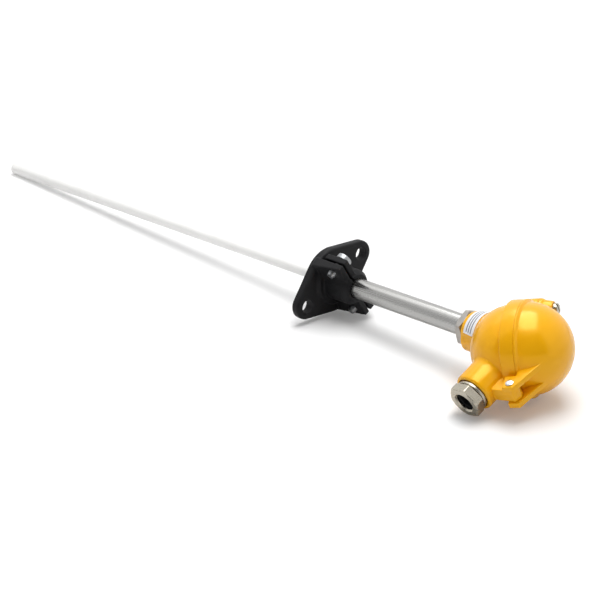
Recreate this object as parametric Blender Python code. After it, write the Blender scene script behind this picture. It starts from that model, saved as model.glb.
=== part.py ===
# Straight thermocouple: ceramic sheath, steel support tube, adjustable stop flange
# and a domed connection head with a hinged lid and a cable gland.
#
# The probe axis is X, from the sheath's tip (-X) to the head (+X). The origin is on
# that axis at the flange's mounting face. Shapes are drawn with the cable gland
# pointing to -Z, and the assembly empty then rolls the whole part about X, as it lies.

import bpy
import bmesh
from math import acos, cos, pi, radians, sin, sqrt
from mathutils import Matrix

# Fits
FIT_GAP = 0.0003            # gap between faces that touch on the real part
SLIDE_GAP = 0.0003          # radial play of the tube in the flange
REST_ROLL = radians(-65.24)     # roll of the part as it lies, gland down and to the side

# Probe
IMMERSION = 0.3889          # mounting face to sheath tip
SHEATH_OD = 0.010
SHEATH_BORE = 0.007
SHEATH_END = 0.004          # thickness of the closed end
SHEATH_SEAT = 0.060         # length of sheath held inside the tube
SHEATH_NOSE = 0.0016        # rounding of the closed end
TUBE_OD = 0.015
TUBE_RECESS = 0.002         # tube end behind the mounting face
TUBE_SHOWN = 0.1052         # bare tube between hub and lock nut
TUBE_INTO_NECK = 0.0095     # tube length inside the neck
INSULATOR_OD = 0.0062
INSULATOR_PAST = 0.004      # insulator past the tube's inner end
WIRE_DIA = 0.0010
WIRE_SPACING = 0.0030
WIRE_PLAY = 0.0003
BEAD_DIA = 0.0042
BEAD_LENGTH = 0.0022
WIRE_BARE = 0.005           # bare wire between bead and insulator

# Stop flange
PLATE_THICKNESS = 0.0075
HOLE_SPACING = 0.060
HOLE_DIA = 0.0098
LOBE_RADIUS = 0.0098
PLATE_MID_RADIUS = 0.0243
PLATE_EDGE = 0.0014
PAD_DIA = 0.0340            # raised pad round the hub
PAD_HEIGHT = 0.0022
HUB_LENGTH = 0.0240
HUB_TAPER = 0.0040          # taper at the hub's front
HUB_TIP_OD = 0.0200
HUB_OD = 0.026
SPLIT = 0.0015              # slot between the two clamp halves
CLAMP_TURN = radians(6)     # clamp slot off the square of the bolt-hole line
LUG_REACH = 0.0248          # probe axis to the lugs' ends
LUG_THICKNESS = 0.0042
LUG_ROOT = 0.0078           # flange's lug thickness at the plate
LUG_SETBACK = 0.0012        # lugs behind the hub's front
CLAMP_STANDOFF = 0.0010     # clamp half to the plate
BOLT_DIA = 0.006
BOLT_HEAD_DIA = 0.0112
BOLT_HEAD = 0.004
BOLT_EDGE = 0.0010
BOLT_SOCKET = 0.005         # hexagon socket across flats
BOLT_SOCKET_DEPTH = 0.0024
BOLT_OFFSET = 0.0192        # probe axis to each clamp bolt
BOLT_FORWARD = 0.0138       # plate to the bolts
BOLT_END = 0.0044           # bolt end past the flange's lug

# Lock nut and neck
LOCK_NUT_HEX = 0.0232
LOCK_NUT_LENGTH = 0.005
LOCK_NUT_TURN = radians(45)
NECK_OD = 0.0248
NECK_ROOT_OD = 0.0302       # neck where it meets the bowl
NECK_LENGTH = 0.0150
NECK_PAST_BOWL = 0.0108     # neck end to the bowl's bottom, along the probe
SWELL_RADIUS = 0.0110       # fuller side of the neck, toward the gland
SWELL_OFFSET = 0.0045
SWELL_TURN = radians(305)
SWELL_ROUND = 0.0012
LABEL_THICKNESS = 0.0002
LABEL_LENGTH = 0.0100
LABEL_OFFSET = 0.0034       # label behind the neck's end
LABEL_FROM = radians(110)   # label's span round the neck
LABEL_SPAN = radians(126)

# Head body
RIM_TILT = radians(26)      # rim plane leans away from the gland
BAND_STEP = 0.0030          # band outside the bowl
BAND_DEPTH = 0.0100
BOWL_RADIUS = 0.0300
BOWL_DEPTH = 0.0100         # rim plane to the bowl's centre
WALL = 0.0030
BOSS_BELOW_RIM = 0.0100     # gland axis to the rim's middle, along the probe
BOSS_OD = 0.028
BOSS_PAST_BOWL = 0.019      # boss's end outside the bowl
BOSS_ROUND = 0.0016
BOSS_RECESS_DIA = 0.0240
BOSS_RECESS = 0.0040

# Lid, hinge and lid screw
DOME_INSET = 0.0017         # dome's radius inside the band's
DOME_DROP = 0.0016          # dome's centre below the rim plane
LID_WALL = 0.0028
LIP_HEIGHT = 0.0008
LIP_SLOPE = 0.0014
GASKET_WIDTH = 0.0016
GASKET_DEPTH = 0.0014
PIN_PAST_BAND = 0.0082      # hinge pin's axis outside the band
PIN_DROP = 0.0021           # hinge pin below the rim plane
PIN_DIA = 0.0036
PIN_HEAD_DIA = 0.0054
PIN_HEAD = 0.0007
KNUCKLE_WIDTH = 0.0096
KNUCKLE_TOP = 0.0024        # knuckle above the rim plane
KNUCKLE_BACK = 0.0033       # knuckle outside the pin's axis
KNUCKLE_INSET = 0.0030      # knuckle's inner face outside the band
KNUCKLE_DEPTH = 0.0165      # knuckle below the rim plane
KNUCKLE_LEAN = 0.0030       # knuckle's foot in from its back
KNUCKLE_EDGE = 0.0015       # chamfer of the knuckle's inner corner
KNUCKLE_SLOPE_IN = 0.0042   # sloped back corner of the knuckle, along the rim
KNUCKLE_SLOPE_DOWN = 0.0036     # the same corner, along the head's axis
ARM_THICKNESS = 0.0045
ARM_SWING = 0.0074          # largest reach of an arm's tip round the pin
ARM_RISE = 0.0170           # arm's root up the dome
ARM_CLEAR = 0.0010          # arm's toe short of its swing
SCREW_PAST_BAND = 0.0040    # lid screw's axis outside the band
SCREW_DIA = 0.0050
SCREW_PLAY = 0.0006
SCREW_GRIP = 0.0050         # screw length below the rim plane
SCREW_HEAD_DIA = 0.0085
SCREW_HEAD = 0.0028
SCREW_SLOT = 0.0012
LUG_RADIUS = 0.0080
LUG_DEPTH = 0.0130
LUG_TAPER = 0.0090
LID_LUG_HEIGHT = 0.0034
LID_LUG_EDGE = 0.0010
SCREW_BOSS_RADIUS = 0.0055
SCREW_BOSS_HEIGHT = 0.0094

# Cable gland
GLAND_THREAD = 0.0200
GLAND_INSIDE = 0.0110       # thread length below the boss's recess
GLAND_COLLAR = 0.0228
GLAND_COLLAR_LENGTH = 0.0044
GLAND_RING = 0.0012
GLAND_FRONT_THREAD = 0.0184
GLAND_BORE = 0.0150
NUT_HEX = 0.022
NUT_LENGTH = 0.0072
NUT_BORE = 0.0130
NUT_LIP = 0.0020
NUT_TURN = radians(43)
SEAL_BORE = 0.0100
SEAL_LENGTH = 0.0090

# Terminals
BLOCK_CLEAR = 0.010         # chamber wall to the block's side
BLOCK_HEIGHT = 0.009
BLOCK_EDGE = 0.001
BLOCK_BELOW_RIM = 0.0218    # block's underside to the rim's middle
BLOCK_SCREW_INSET = 0.004   # block's side to its screws
BLOCK_SCREW_DIA = 0.004
BLOCK_SCREW_HEAD_DIA = 0.0068
BLOCK_SCREW_HEAD = 0.0024
PILLAR_DIA = 0.0074
PILLAR_GRIP = 0.005
POST_SPACING = 0.018
POST_WIDTH = 0.0080
POST_DEPTH = 0.0140
POST_HEIGHT = 0.0080
POST_ENTRY = 0.0040         # wire length inside the post
CLAMP_SCREW_SPACING = 0.0082
CLAMP_SCREW_DIA = 0.0030
CLAMP_SCREW_HEAD_DIA = 0.0056
CLAMP_SCREW_HEAD = 0.0020
CLAMP_SCREW_LENGTH = 0.0050
CLAMP_SCREW_SLOT = 0.00084

# Facets
ROUND = 40
ROUND_FINE = 56
ROUND_SMALL = 16
ARC_STEPS = 9
OVERRUN = 0.002             # cutters run past the faces they cut

# Places that follow from the sizes above
hub_front = PLATE_THICKNESS + HUB_LENGTH
lock_nut_x = hub_front + TUBE_SHOWN
neck_x = lock_nut_x + LOCK_NUT_LENGTH + FIT_GAP
rim_x = neck_x + NECK_PAST_BOWL + BOWL_RADIUS + BOWL_DEPTH
gland_x = rim_x - BOSS_BELOW_RIM
tube_end = neck_x + TUBE_INTO_NECK
block_x = rim_x - BLOCK_BELOW_RIM
block_top = block_x + BLOCK_HEIGHT
post_x = block_top + FIT_GAP
post_top = post_x + POST_HEIGHT
sheath_floor = -IMMERSION + SHEATH_END
bead_back = sheath_floor + FIT_GAP + BEAD_LENGTH
wire_start = bead_back + FIT_GAP
insulator_start = wire_start + WIRE_BARE
insulator_end = tube_end + INSULATOR_PAST
seam = FIT_GAP
band_radius = BOWL_RADIUS + BAND_STEP
dome_radius = band_radius - DOME_INSET
cavity_radius = BOWL_RADIUS - WALL
block_radius = cavity_radius - BLOCK_CLEAR
block_screw_z = block_radius - BLOCK_SCREW_INSET
pin_reach = band_radius + PIN_PAST_BAND
screw_reach = band_radius + SCREW_PAST_BAND
arm_inner = KNUCKLE_WIDTH / 2 + FIT_GAP
arm_outer = arm_inner + ARM_THICKNESS
boss_reach = BOWL_RADIUS + BOSS_PAST_BOWL
boss_floor = boss_reach - BOSS_RECESS
collar_x = boss_floor + GLAND_RING + 2 * FIT_GAP
collar_end = collar_x + GLAND_COLLAR_LENGTH
nut_x = collar_end + FIT_GAP
nut_end = nut_x + NUT_LENGTH
nut_floor = nut_end - NUT_LIP


def clear_scene():
    for old in list(bpy.data.objects):
        bpy.data.objects.remove(old, do_unlink=True)


def make_material(name, colour, roughness, metallic=0.0):
    material = bpy.data.materials.new(name)
    material.use_nodes = True
    shader = material.node_tree.nodes["Principled BSDF"]
    shader.inputs["Base Color"].default_value = (*colour, 1.0)
    shader.inputs["Roughness"].default_value = roughness
    shader.inputs["Metallic"].default_value = metallic
    return material


def make_empty(name, parent=None, location=(0, 0, 0), rotation=(0, 0, 0)):
    empty = bpy.data.objects.new(name, None)
    empty.empty_display_size = 0.01
    bpy.context.scene.collection.objects.link(empty)
    empty.parent = parent
    empty.location = location
    empty.rotation_euler = rotation
    return empty


def make_object(name, shape, parent, material=None, origin=(0, 0, 0)):
    # The shape is drawn in its parent's axes, and its origin is moved to a joint's axis.
    bmesh.ops.translate(shape, verts=shape.verts, vec=[-value for value in origin])
    bmesh.ops.recalc_face_normals(shape, faces=shape.faces)
    mesh = bpy.data.meshes.new(name)
    shape.to_mesh(mesh)
    shape.free()
    mesh.shade_smooth()
    mesh.set_sharp_from_angle(angle=radians(35))
    piece = bpy.data.objects.new(name, mesh)
    bpy.context.scene.collection.objects.link(piece)
    piece.parent = parent
    piece.location = origin
    if material:
        mesh.materials.append(material)
    return piece


def make_tool(name, shape, parent):
    tool = make_object(name, shape, parent)
    tool.hide_render = True
    tool.display_type = "WIRE"
    return tool


def combine(piece, operation, *tools):
    for tool in tools:
        change = piece.modifiers.new(tool.name, "BOOLEAN")
        change.operation = operation
        change.solver = "EXACT"
        change.object = tool


def bridge(shape, first, second, steps):
    for i in range(steps):
        corners = [first[i % len(first)], first[(i + 1) % len(first)],
                   second[(i + 1) % len(second)], second[i % len(second)]]
        unique = list(dict.fromkeys(corners))
        if len(unique) > 2:
            shape.faces.new(unique)


def turned(profile, steps=ROUND, ring=False, offset=(0, 0)):
    # A solid turned about a line along X from (x, radius) points. A ring's profile closes.
    shape = bmesh.new()
    loops = []
    for x, radius in profile:
        count = steps if radius > 1e-7 else 1
        loops.append([shape.verts.new((x, offset[0] + radius * cos(2 * pi * i / count),
                                       offset[1] + radius * sin(2 * pi * i / count)))
                      for i in range(count)])
    pairs = list(zip(loops, loops[1:]))
    if ring:
        pairs.append((loops[-1], loops[0]))
    for first, second in pairs:
        bridge(shape, first, second, steps)
    return shape


def rod(start, end, radius, steps=ROUND_SMALL, offset=(0, 0)):
    return turned([(start, 0), (start, radius), (end, radius), (end, 0)], steps, offset=offset)


def tube(start, end, outer, inner, steps=ROUND):
    return turned([(start, outer), (end, outer), (end, inner), (start, inner)], steps, ring=True)


def prism(outline, low, high, axis="x"):
    # A flat outline drawn across an axis and drawn out along it. The outline's points are
    # (y, z) for the X axis, (x, z) for Y and (x, y) for Z.
    place = {"x": lambda p, t: (t, p[0], p[1]),
             "y": lambda p, t: (p[0], t, p[1]),
             "z": lambda p, t: (p[0], p[1], t)}[axis]
    shape = bmesh.new()
    bottom = [shape.verts.new(place(point, low)) for point in outline]
    top = [shape.verts.new(place(point, high)) for point in outline]
    shape.faces.new(bottom[::-1])
    shape.faces.new(top)
    bridge(shape, bottom, top, len(outline))
    return shape


def block(low, high):
    corners = [(low[1], low[2]), (high[1], low[2]), (high[1], high[2]), (low[1], high[2])]
    return prism(corners, low[0], high[0])


def polygon(radius, sides, turn=0.0):
    return [(radius * cos(turn + 2 * pi * i / sides), radius * sin(turn + 2 * pi * i / sides))
            for i in range(sides)]


def arc(centre, radius, start, end, steps=ARC_STEPS):
    # Points of a circle in a turned profile, by angle from the +X direction.
    return [(centre + radius * cos(start + (end - start) * i / steps),
             max(0.0, radius * sin(start + (end - start) * i / steps)))
            for i in range(steps + 1)]


def lozenge(mid_radius, end_radius, reach, steps=8):
    # The outline that wraps a middle circle and two end circles on the Z axis.
    lean = acos((mid_radius - end_radius) / reach)
    points = []
    for radius, centre, start, end in ((end_radius, reach, -lean, lean),
                                       (mid_radius, 0.0, lean, pi - lean),
                                       (end_radius, -reach, pi - lean, pi + lean),
                                       (mid_radius, 0.0, pi + lean, 2 * pi - lean)):
        for i in range(steps + 1):
            angle = start + (end - start) * i / steps
            points.append((radius * sin(angle), centre + radius * cos(angle)))
    return [point for i, point in enumerate(points)
            if sum((a - b) ** 2 for a, b in zip(point, points[i - 1])) > 1e-12]


def hexagon_with_chamfers(name, across_flats, start, end, parent, material, turn, origin=(0, 0, 0)):
    # A hexagon along X whose corners are turned down at both ends.
    corner = across_flats / sqrt(3)
    drop = corner - across_flats / 2 * 0.98
    piece = make_object(name, prism(polygon(corner, 6, turn), start, end), parent, material, origin)
    facing = turned([(start, 0), (start, corner - drop), (start + drop * 0.6, corner + FIT_GAP),
                     (end - drop * 0.6, corner + FIT_GAP), (end, corner - drop), (end, 0)], 36)
    combine(piece, "INTERSECT", make_tool(name + "_facing", facing, parent))
    return piece


def placed(shape, space):
    bmesh.ops.transform(shape, matrix=space, verts=shape.verts)
    return shape


def gathered(*shapes):
    # Several separate closed shapes in one mesh.
    mesh = bpy.data.meshes.new("gathered")
    whole = bmesh.new()
    for shape in shapes:
        shape.to_mesh(mesh)
        shape.free()
        whole.from_mesh(mesh)
    bpy.data.meshes.remove(mesh)
    return whole


def rounded_rod(start, end, radius, rounding, steps=ROUND):
    # A rod whose far rim is rounded.
    profile = [(start, 0), (start, radius)]
    for i in range(5):
        angle = pi / 2 * i / 4
        profile.append((end - rounding + rounding * sin(angle), radius - rounding + rounding * cos(angle)))
    return turned(profile + [(end, 0)], steps)


clear_scene()

yellow = make_material("yellow_paint", (0.90, 0.50, 0.02), 0.25)
lid_yellow = make_material("yellow_paint_lid", (0.92, 0.52, 0.02), 0.22)
black_iron = make_material("black_cast_iron", (0.020, 0.020, 0.023), 0.60)
clamp_iron = make_material("black_cast_iron_clamp", (0.018, 0.018, 0.021), 0.60)
tube_steel = make_material("brushed_steel", (0.56, 0.55, 0.53), 0.32, 1.0)
nut_steel = make_material("grey_steel", (0.36, 0.36, 0.38), 0.45, 1.0)
bolt_steel = make_material("plated_steel", (0.65, 0.66, 0.66), 0.28, 1.0)
white_ceramic = make_material("white_ceramic", (0.86, 0.85, 0.82), 0.45)
inner_ceramic = make_material("insulator_ceramic", (0.82, 0.80, 0.74), 0.60)
block_ceramic = make_material("block_ceramic", (0.78, 0.76, 0.70), 0.50)
nickel = make_material("plated_brass", (0.60, 0.57, 0.52), 0.25, 1.0)
brass = make_material("brass", (0.70, 0.52, 0.22), 0.30, 1.0)
rubber = make_material("black_rubber", (0.012, 0.012, 0.012), 0.75)
gasket_rubber = make_material("gasket_rubber", (0.03, 0.03, 0.03), 0.80)
paper = make_material("white_label", (0.85, 0.86, 0.88), 0.55)
plus_metal = make_material("positive_alloy", (0.50, 0.48, 0.45), 0.40, 1.0)
minus_metal = make_material("negative_alloy", (0.42, 0.41, 0.40), 0.45, 1.0)

assembly = make_empty("assembly", rotation=(REST_ROLL, 0, 0))
head = make_empty("head_frame", assembly, (rim_x, 0, 0), (0, -RIM_TILT, 0))
gland = make_empty("gland_frame", assembly, (gland_x, 0, 0), (0, pi / 2, 0))
head_space = Matrix.Translation((rim_x, 0, 0)) @ Matrix.Rotation(-RIM_TILT, 4, "Y")
gland_space = Matrix.Translation((gland_x, 0, 0)) @ Matrix.Rotation(pi / 2, 4, "Y")

# Stop flange: plate, half hub and lugs in one casting, bored for the tube and bolts.
plate = prism(lozenge(PLATE_MID_RADIUS, LOBE_RADIUS, HOLE_SPACING / 2), 0, PLATE_THICKNESS)
rims = [edge for edge in plate.edges if abs(edge.verts[0].co.x - edge.verts[1].co.x) < 1e-9]
bmesh.ops.bevel(plate, geom=rims, offset=PLATE_EDGE, segments=1, affect="EDGES")
flange = make_object("flange", plate, assembly, black_iron)


def half_hub(side, start):
    # Half of the clamp hub, on the +Z or -Z side of the slot, tapered at its front.
    low = SPLIT / 2
    steps = ROUND // 2
    shape = bmesh.new()
    loops = []
    for x, radius in ((start, HUB_OD / 2), (hub_front - HUB_TAPER, HUB_OD / 2),
                      (hub_front, HUB_TIP_OD / 2)):
        lean = acos(low / radius)
        turns = [-lean + 2 * lean * i / steps for i in range(steps + 1)]
        loops.append([shape.verts.new((x, radius * sin(t), side * radius * cos(t))) for t in turns])
    for first, second in zip(loops, loops[1:]):
        bridge(shape, first, second, steps + 1)
    shape.faces.new(loops[0])
    shape.faces.new(loops[-1][::-1])
    return shape


def lug_bar(side, start, root):
    # The two lugs of a clamp half, drawn as one bar across the hub, thicker toward the plate.
    end = hub_front - LUG_SETBACK
    low = SPLIT / 2
    outline = [(start, side * low), (end, side * low), (end, side * (low + LUG_THICKNESS)),
               (start, side * (low + root))]
    return prism(outline, -LUG_REACH, LUG_REACH, "y")


clamp = make_empty("clamp_frame", assembly, rotation=(CLAMP_TURN, 0, 0))
clamp_space = Matrix.Rotation(CLAMP_TURN, 4, "X")
pad_top = PLATE_THICKNESS + PAD_HEIGHT
pad = make_tool("pad", rod(PLATE_THICKNESS / 2, pad_top, PAD_DIA / 2, ROUND), assembly)
cast_hub = make_tool("cast_hub", half_hub(-1, PLATE_THICKNESS / 2), clamp)
cast_lugs = make_tool("cast_lugs", lug_bar(-1, PLATE_THICKNESS / 2, LUG_ROOT), clamp)
combine(flange, "UNION", pad, cast_hub, cast_lugs)

clamp_start = pad_top + CLAMP_STANDOFF
clamp_half = make_object("clamp_half", half_hub(1, clamp_start), clamp, clamp_iron)
combine(clamp_half, "UNION", make_tool("clamp_lugs", lug_bar(1, clamp_start, LUG_THICKNESS), clamp))

# One set of drills bores the tube's way, the mounting holes and the bolts' holes.
lug_face = SPLIT / 2 + LUG_THICKNESS
bolt_x = PLATE_THICKNESS + BOLT_FORWARD
drills = [rod(-OVERRUN, hub_front + OVERRUN, TUBE_OD / 2 + SLIDE_GAP, ROUND)]
for side in (1, -1):
    drills.append(rod(-OVERRUN, PLATE_THICKNESS + OVERRUN, HOLE_DIA / 2, ROUND // 2,
                      offset=(0, side * HOLE_SPACING / 2)))
    bolt_space = Matrix.Translation((bolt_x, side * BOLT_OFFSET, 0)) @ Matrix.Rotation(pi / 2, 4, "Y")
    bolt_hole = rod(-lug_face * 3, lug_face * 3, BOLT_DIA / 2 + FIT_GAP)
    drills.append(placed(bolt_hole, clamp_space @ bolt_space))
flange_drills = make_tool("flange_drills", gathered(*drills), assembly)
combine(flange, "DIFFERENCE", flange_drills)
combine(clamp_half, "DIFFERENCE", flange_drills)

# Clamp bolts: heads on the clamp half, ends through the flange's lugs.
for side, name in ((-1, "clamp_bolt_upper"), (1, "clamp_bolt_lower")):
    bolt_line = make_empty(name + "_line", clamp, (bolt_x, side * BOLT_OFFSET, 0), (0, pi / 2, 0))
    head_start = -lug_face - FIT_GAP
    head_end = head_start - BOLT_HEAD
    head_radius = BOLT_HEAD_DIA / 2
    profile = [(head_end, 0), (head_end, head_radius - BOLT_EDGE),
               (head_end + BOLT_EDGE * 0.3, head_radius - BOLT_EDGE * 0.3),
               (head_end + BOLT_EDGE, head_radius), (head_start, head_radius), (head_start, BOLT_DIA / 2),
               (lug_face + BOLT_END * 0.75, BOLT_DIA / 2), (lug_face + BOLT_END, BOLT_DIA * 0.38),
               (lug_face + BOLT_END, 0)]
    bolt = make_object(name, turned(profile, 24), bolt_line, bolt_steel)
    socket = prism(polygon(BOLT_SOCKET / sqrt(3), 6), head_end - OVERRUN, head_end + BOLT_SOCKET_DEPTH)
    combine(bolt, "DIFFERENCE", make_tool(name + "_socket", socket, bolt_line))

# Probe: tube, closed sheath, twin-bore insulator, wires and hot junction.
sheath_radius = SHEATH_OD / 2
make_object("support_tube", tube(TUBE_RECESS, tube_end, TUBE_OD / 2, sheath_radius + FIT_GAP),
            assembly, tube_steel)

nose = [(-IMMERSION + SHEATH_NOSE * (1 - cos(angle)), sheath_radius - SHEATH_NOSE * (1 - sin(angle)))
        for angle in (0, pi / 8, pi / 4, 3 * pi / 8, pi / 2)]
sheath_profile = [(-IMMERSION, 0)] + nose
sheath_profile += [(SHEATH_SEAT, sheath_radius), (SHEATH_SEAT, SHEATH_BORE / 2),
                   (sheath_floor, SHEATH_BORE / 2), (sheath_floor, 0)]
make_object("ceramic_sheath", turned(sheath_profile, 32), assembly, white_ceramic)

insulator = make_object("twin_bore_insulator", rod(insulator_start, insulator_end, INSULATOR_OD / 2, 24),
                        assembly, inner_ceramic)
wire_bores = [rod(insulator_start - OVERRUN, insulator_end + OVERRUN, WIRE_DIA / 2 + WIRE_PLAY, 12,
                  offset=(side * WIRE_SPACING / 2, 0)) for side in (1, -1)]
combine(insulator, "DIFFERENCE", make_tool("wire_bores", gathered(*wire_bores), assembly))

bead = turned([(bead_back - BEAD_LENGTH, 0), (bead_back - BEAD_LENGTH * 0.85, BEAD_DIA * 0.30),
               (bead_back - BEAD_LENGTH * 0.45, BEAD_DIA * 0.48), (bead_back, BEAD_DIA / 2),
               (bead_back, 0)], ROUND_SMALL)
make_object("hot_junction", bead, assembly, plus_metal)


def wire_path(side):
    # From the bead along the insulator, then apart to the terminal's height.
    near = side * WIRE_SPACING / 2
    far = side * POST_SPACING / 2
    spread_start = insulator_end + WIRE_DIA
    spread_end = block_x - WIRE_DIA
    points = [(wire_start, near)]
    for i in range(9):
        t = i / 8
        blend = t * t * (3 - 2 * t)
        points.append((spread_start + (spread_end - spread_start) * t, near + (far - near) * blend))
    points.append((post_x + POST_ENTRY, far))
    return points


for side, name, metal in ((1, "positive_wire", plus_metal), (-1, "negative_wire", minus_metal)):
    curve = bpy.data.curves.new(name, "CURVE")
    curve.dimensions = "3D"
    curve.bevel_depth = WIRE_DIA / 2
    curve.bevel_resolution = 2
    curve.use_fill_caps = True
    spline = curve.splines.new("POLY")
    route = wire_path(side)
    spline.points.add(len(route) - 1)
    for point, (x, y) in zip(spline.points, route):
        point.co = (x, y, 0, 1)
    wire = bpy.data.objects.new(name, curve)
    bpy.context.scene.collection.objects.link(wire)
    wire.parent = assembly
    curve.materials.append(metal)

# Lock nut on the tube, against the neck.
lock_nut = hexagon_with_chamfers("neck_lock_nut", LOCK_NUT_HEX, lock_nut_x, lock_nut_x + LOCK_NUT_LENGTH,
                                 assembly, nut_steel, LOCK_NUT_TURN)
combine(lock_nut, "DIFFERENCE", make_tool("lock_nut_bore", rod(
    lock_nut_x - OVERRUN, lock_nut_x + LOCK_NUT_LENGTH + OVERRUN, TUBE_OD / 2 + FIT_GAP, ROUND), assembly))

# Head body: bowl and rim band turned about the tilted head axis, with neck, boss, lug and knuckle.
body_profile = arc(-BOWL_DEPTH, BOWL_RADIUS, pi, pi / 2)
body_profile += [(-BAND_DEPTH + FIT_GAP, band_radius - FIT_GAP * 2),
                 (-BAND_DEPTH + FIT_GAP * 3, band_radius), (0, band_radius), (0, 0)]
head_body = make_object("head_body", placed(turned(body_profile, ROUND_FINE), head_space), assembly, yellow)

neck_flare = (NECK_ROOT_OD - NECK_OD) / 2 / NECK_LENGTH
neck = turned([(neck_x, 0), (neck_x, NECK_OD / 2 - FIT_GAP * 2), (neck_x + FIT_GAP * 2, NECK_OD / 2),
               (neck_x + NECK_LENGTH, NECK_ROOT_OD / 2), (rim_x - BOWL_DEPTH, NECK_ROOT_OD / 2),
               (rim_x - BOWL_DEPTH, 0)], ROUND)
swell_x = neck_x + FIT_GAP
neck_swell = turned([(swell_x, 0), (swell_x, SWELL_RADIUS - SWELL_ROUND),
                     (swell_x + SWELL_ROUND * 0.3, SWELL_RADIUS - SWELL_ROUND * 0.3),
                     (swell_x + SWELL_ROUND, SWELL_RADIUS), (rim_x - BOWL_DEPTH - WALL, SWELL_RADIUS),
                     (rim_x - BOWL_DEPTH - WALL, 0)], ROUND,
                    offset=(SWELL_OFFSET * cos(SWELL_TURN), SWELL_OFFSET * sin(SWELL_TURN)))
cable_boss = rounded_rod(BOWL_RADIUS / 2, boss_reach, BOSS_OD / 2, BOSS_ROUND)
screw_lug = turned([(-LUG_DEPTH - LUG_TAPER, 0), (-LUG_DEPTH - LUG_TAPER, LUG_RADIUS * 0.35),
                    (-LUG_DEPTH, LUG_RADIUS), (0, LUG_RADIUS), (0, 0)], ROUND // 2, offset=(0, screw_reach))
knuckle_foot = -KNUCKLE_DEPTH
knuckle_low = BOWL_RADIUS - WALL / 2
knuckle_outer = pin_reach + KNUCKLE_BACK
knuckle_inner = band_radius + KNUCKLE_INSET
knuckle_gap = -PIN_DROP + FIT_GAP * 4
knuckle_outline = [(knuckle_foot, -knuckle_low), (knuckle_gap, -knuckle_low), (knuckle_gap, -knuckle_inner),
                   (KNUCKLE_TOP - KNUCKLE_EDGE, -knuckle_inner), (KNUCKLE_TOP, -knuckle_inner - KNUCKLE_EDGE),
                   (KNUCKLE_TOP, -knuckle_outer + KNUCKLE_SLOPE_IN),
                   (KNUCKLE_TOP - KNUCKLE_SLOPE_DOWN, -knuckle_outer),
                   (knuckle_foot, -knuckle_outer + KNUCKLE_LEAN)]
knuckle = make_tool("knuckle", prism(knuckle_outline, -KNUCKLE_WIDTH / 2, KNUCKLE_WIDTH / 2, "y"), head)
outer_shapes = gathered(neck, placed(cable_boss, gland_space), placed(screw_lug, head_space))
combine(head_body, "UNION", make_tool("neck_boss_lug", outer_shapes, assembly), knuckle,
        make_tool("neck_swell", neck_swell, assembly))

# The chamber keeps two pillars that carry the terminal block, and opens into the neck and the boss.
rabbet_radius = cavity_radius + GASKET_WIDTH + 2 * FIT_GAP
rabbet_floor = -GASKET_DEPTH - FIT_GAP
chamber_profile = arc(-BOWL_DEPTH, cavity_radius, pi, pi / 2)
chamber_profile += [(rabbet_floor, cavity_radius), (rabbet_floor, rabbet_radius), (OVERRUN, rabbet_radius),
                    (OVERRUN, 0)]
chamber = make_tool("chamber", placed(turned(chamber_profile, ROUND_FINE), head_space), assembly)
pillars = []
pillar_holes = []
for side in (1, -1):
    offset = (0, side * block_screw_z)
    grip_end = block_x - PILLAR_GRIP - FIT_GAP * 2
    pillars.append(rod(neck_x, block_x - FIT_GAP, PILLAR_DIA / 2, offset=offset))
    pillar_holes.append(rod(grip_end, block_x + OVERRUN, BLOCK_SCREW_DIA / 2 + FIT_GAP, offset=offset))
combine(chamber, "DIFFERENCE", make_tool("pillars", gathered(*pillars), assembly))
pin_line = make_empty("pin_line", head, (-PIN_DROP, 0, -pin_reach), (0, 0, pi / 2))
pin_space = head_space @ Matrix.Translation((-PIN_DROP, 0, -pin_reach)) @ Matrix.Rotation(pi / 2, 4, "Z")
neck_bore = rod(neck_x - OVERRUN, rim_x - BOWL_DEPTH - cavity_radius / 2, TUBE_OD / 2 + FIT_GAP, ROUND)
boss_bore = turned([(cavity_radius / 2, 0), (cavity_radius / 2, GLAND_THREAD / 2 + FIT_GAP),
                    (boss_floor, GLAND_THREAD / 2 + FIT_GAP), (boss_floor, BOSS_RECESS_DIA / 2),
                    (boss_reach + OVERRUN, BOSS_RECESS_DIA / 2), (boss_reach + OVERRUN, 0)], ROUND)
lug_hole = rod(-LUG_DEPTH + WALL / 2, OVERRUN, SCREW_DIA / 2 + SCREW_PLAY, ROUND_SMALL,
               offset=(0, screw_reach))
pin_hole = rod(-arm_outer - OVERRUN, arm_outer + OVERRUN, PIN_DIA / 2 + FIT_GAP)
bores = gathered(neck_bore, placed(boss_bore, gland_space), placed(lug_hole, head_space),
                 placed(pin_hole, pin_space))
combine(chamber, "UNION", make_tool("bores", bores, assembly),
        make_tool("pillar_holes", gathered(*pillar_holes), assembly))
combine(head_body, "DIFFERENCE", chamber)

# Sticker on the neck.
label_steps = 18
label_turns = [LABEL_FROM + LABEL_SPAN * i / label_steps for i in range(label_steps + 1)]
label = bmesh.new()
label_ends = []
for x in (neck_x + LABEL_OFFSET, neck_x + LABEL_OFFSET + LABEL_LENGTH):
    label_in = NECK_OD / 2 + (x - neck_x) * neck_flare + FIT_GAP
    label_out = label_in + LABEL_THICKNESS
    points = [(label_in * cos(turn), label_in * sin(turn)) for turn in label_turns]
    points += [(label_out * cos(turn), label_out * sin(turn)) for turn in reversed(label_turns)]
    label_ends.append([label.verts.new((x, y, z)) for y, z in points])
bridge(label, label_ends[0], label_ends[1], len(label_ends[0]))
for corners in label_ends:
    for i in range(label_steps):
        label.faces.new((corners[i], corners[i + 1], corners[-2 - i], corners[-1 - i]))
make_object("neck_label", label, assembly, paper)

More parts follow.
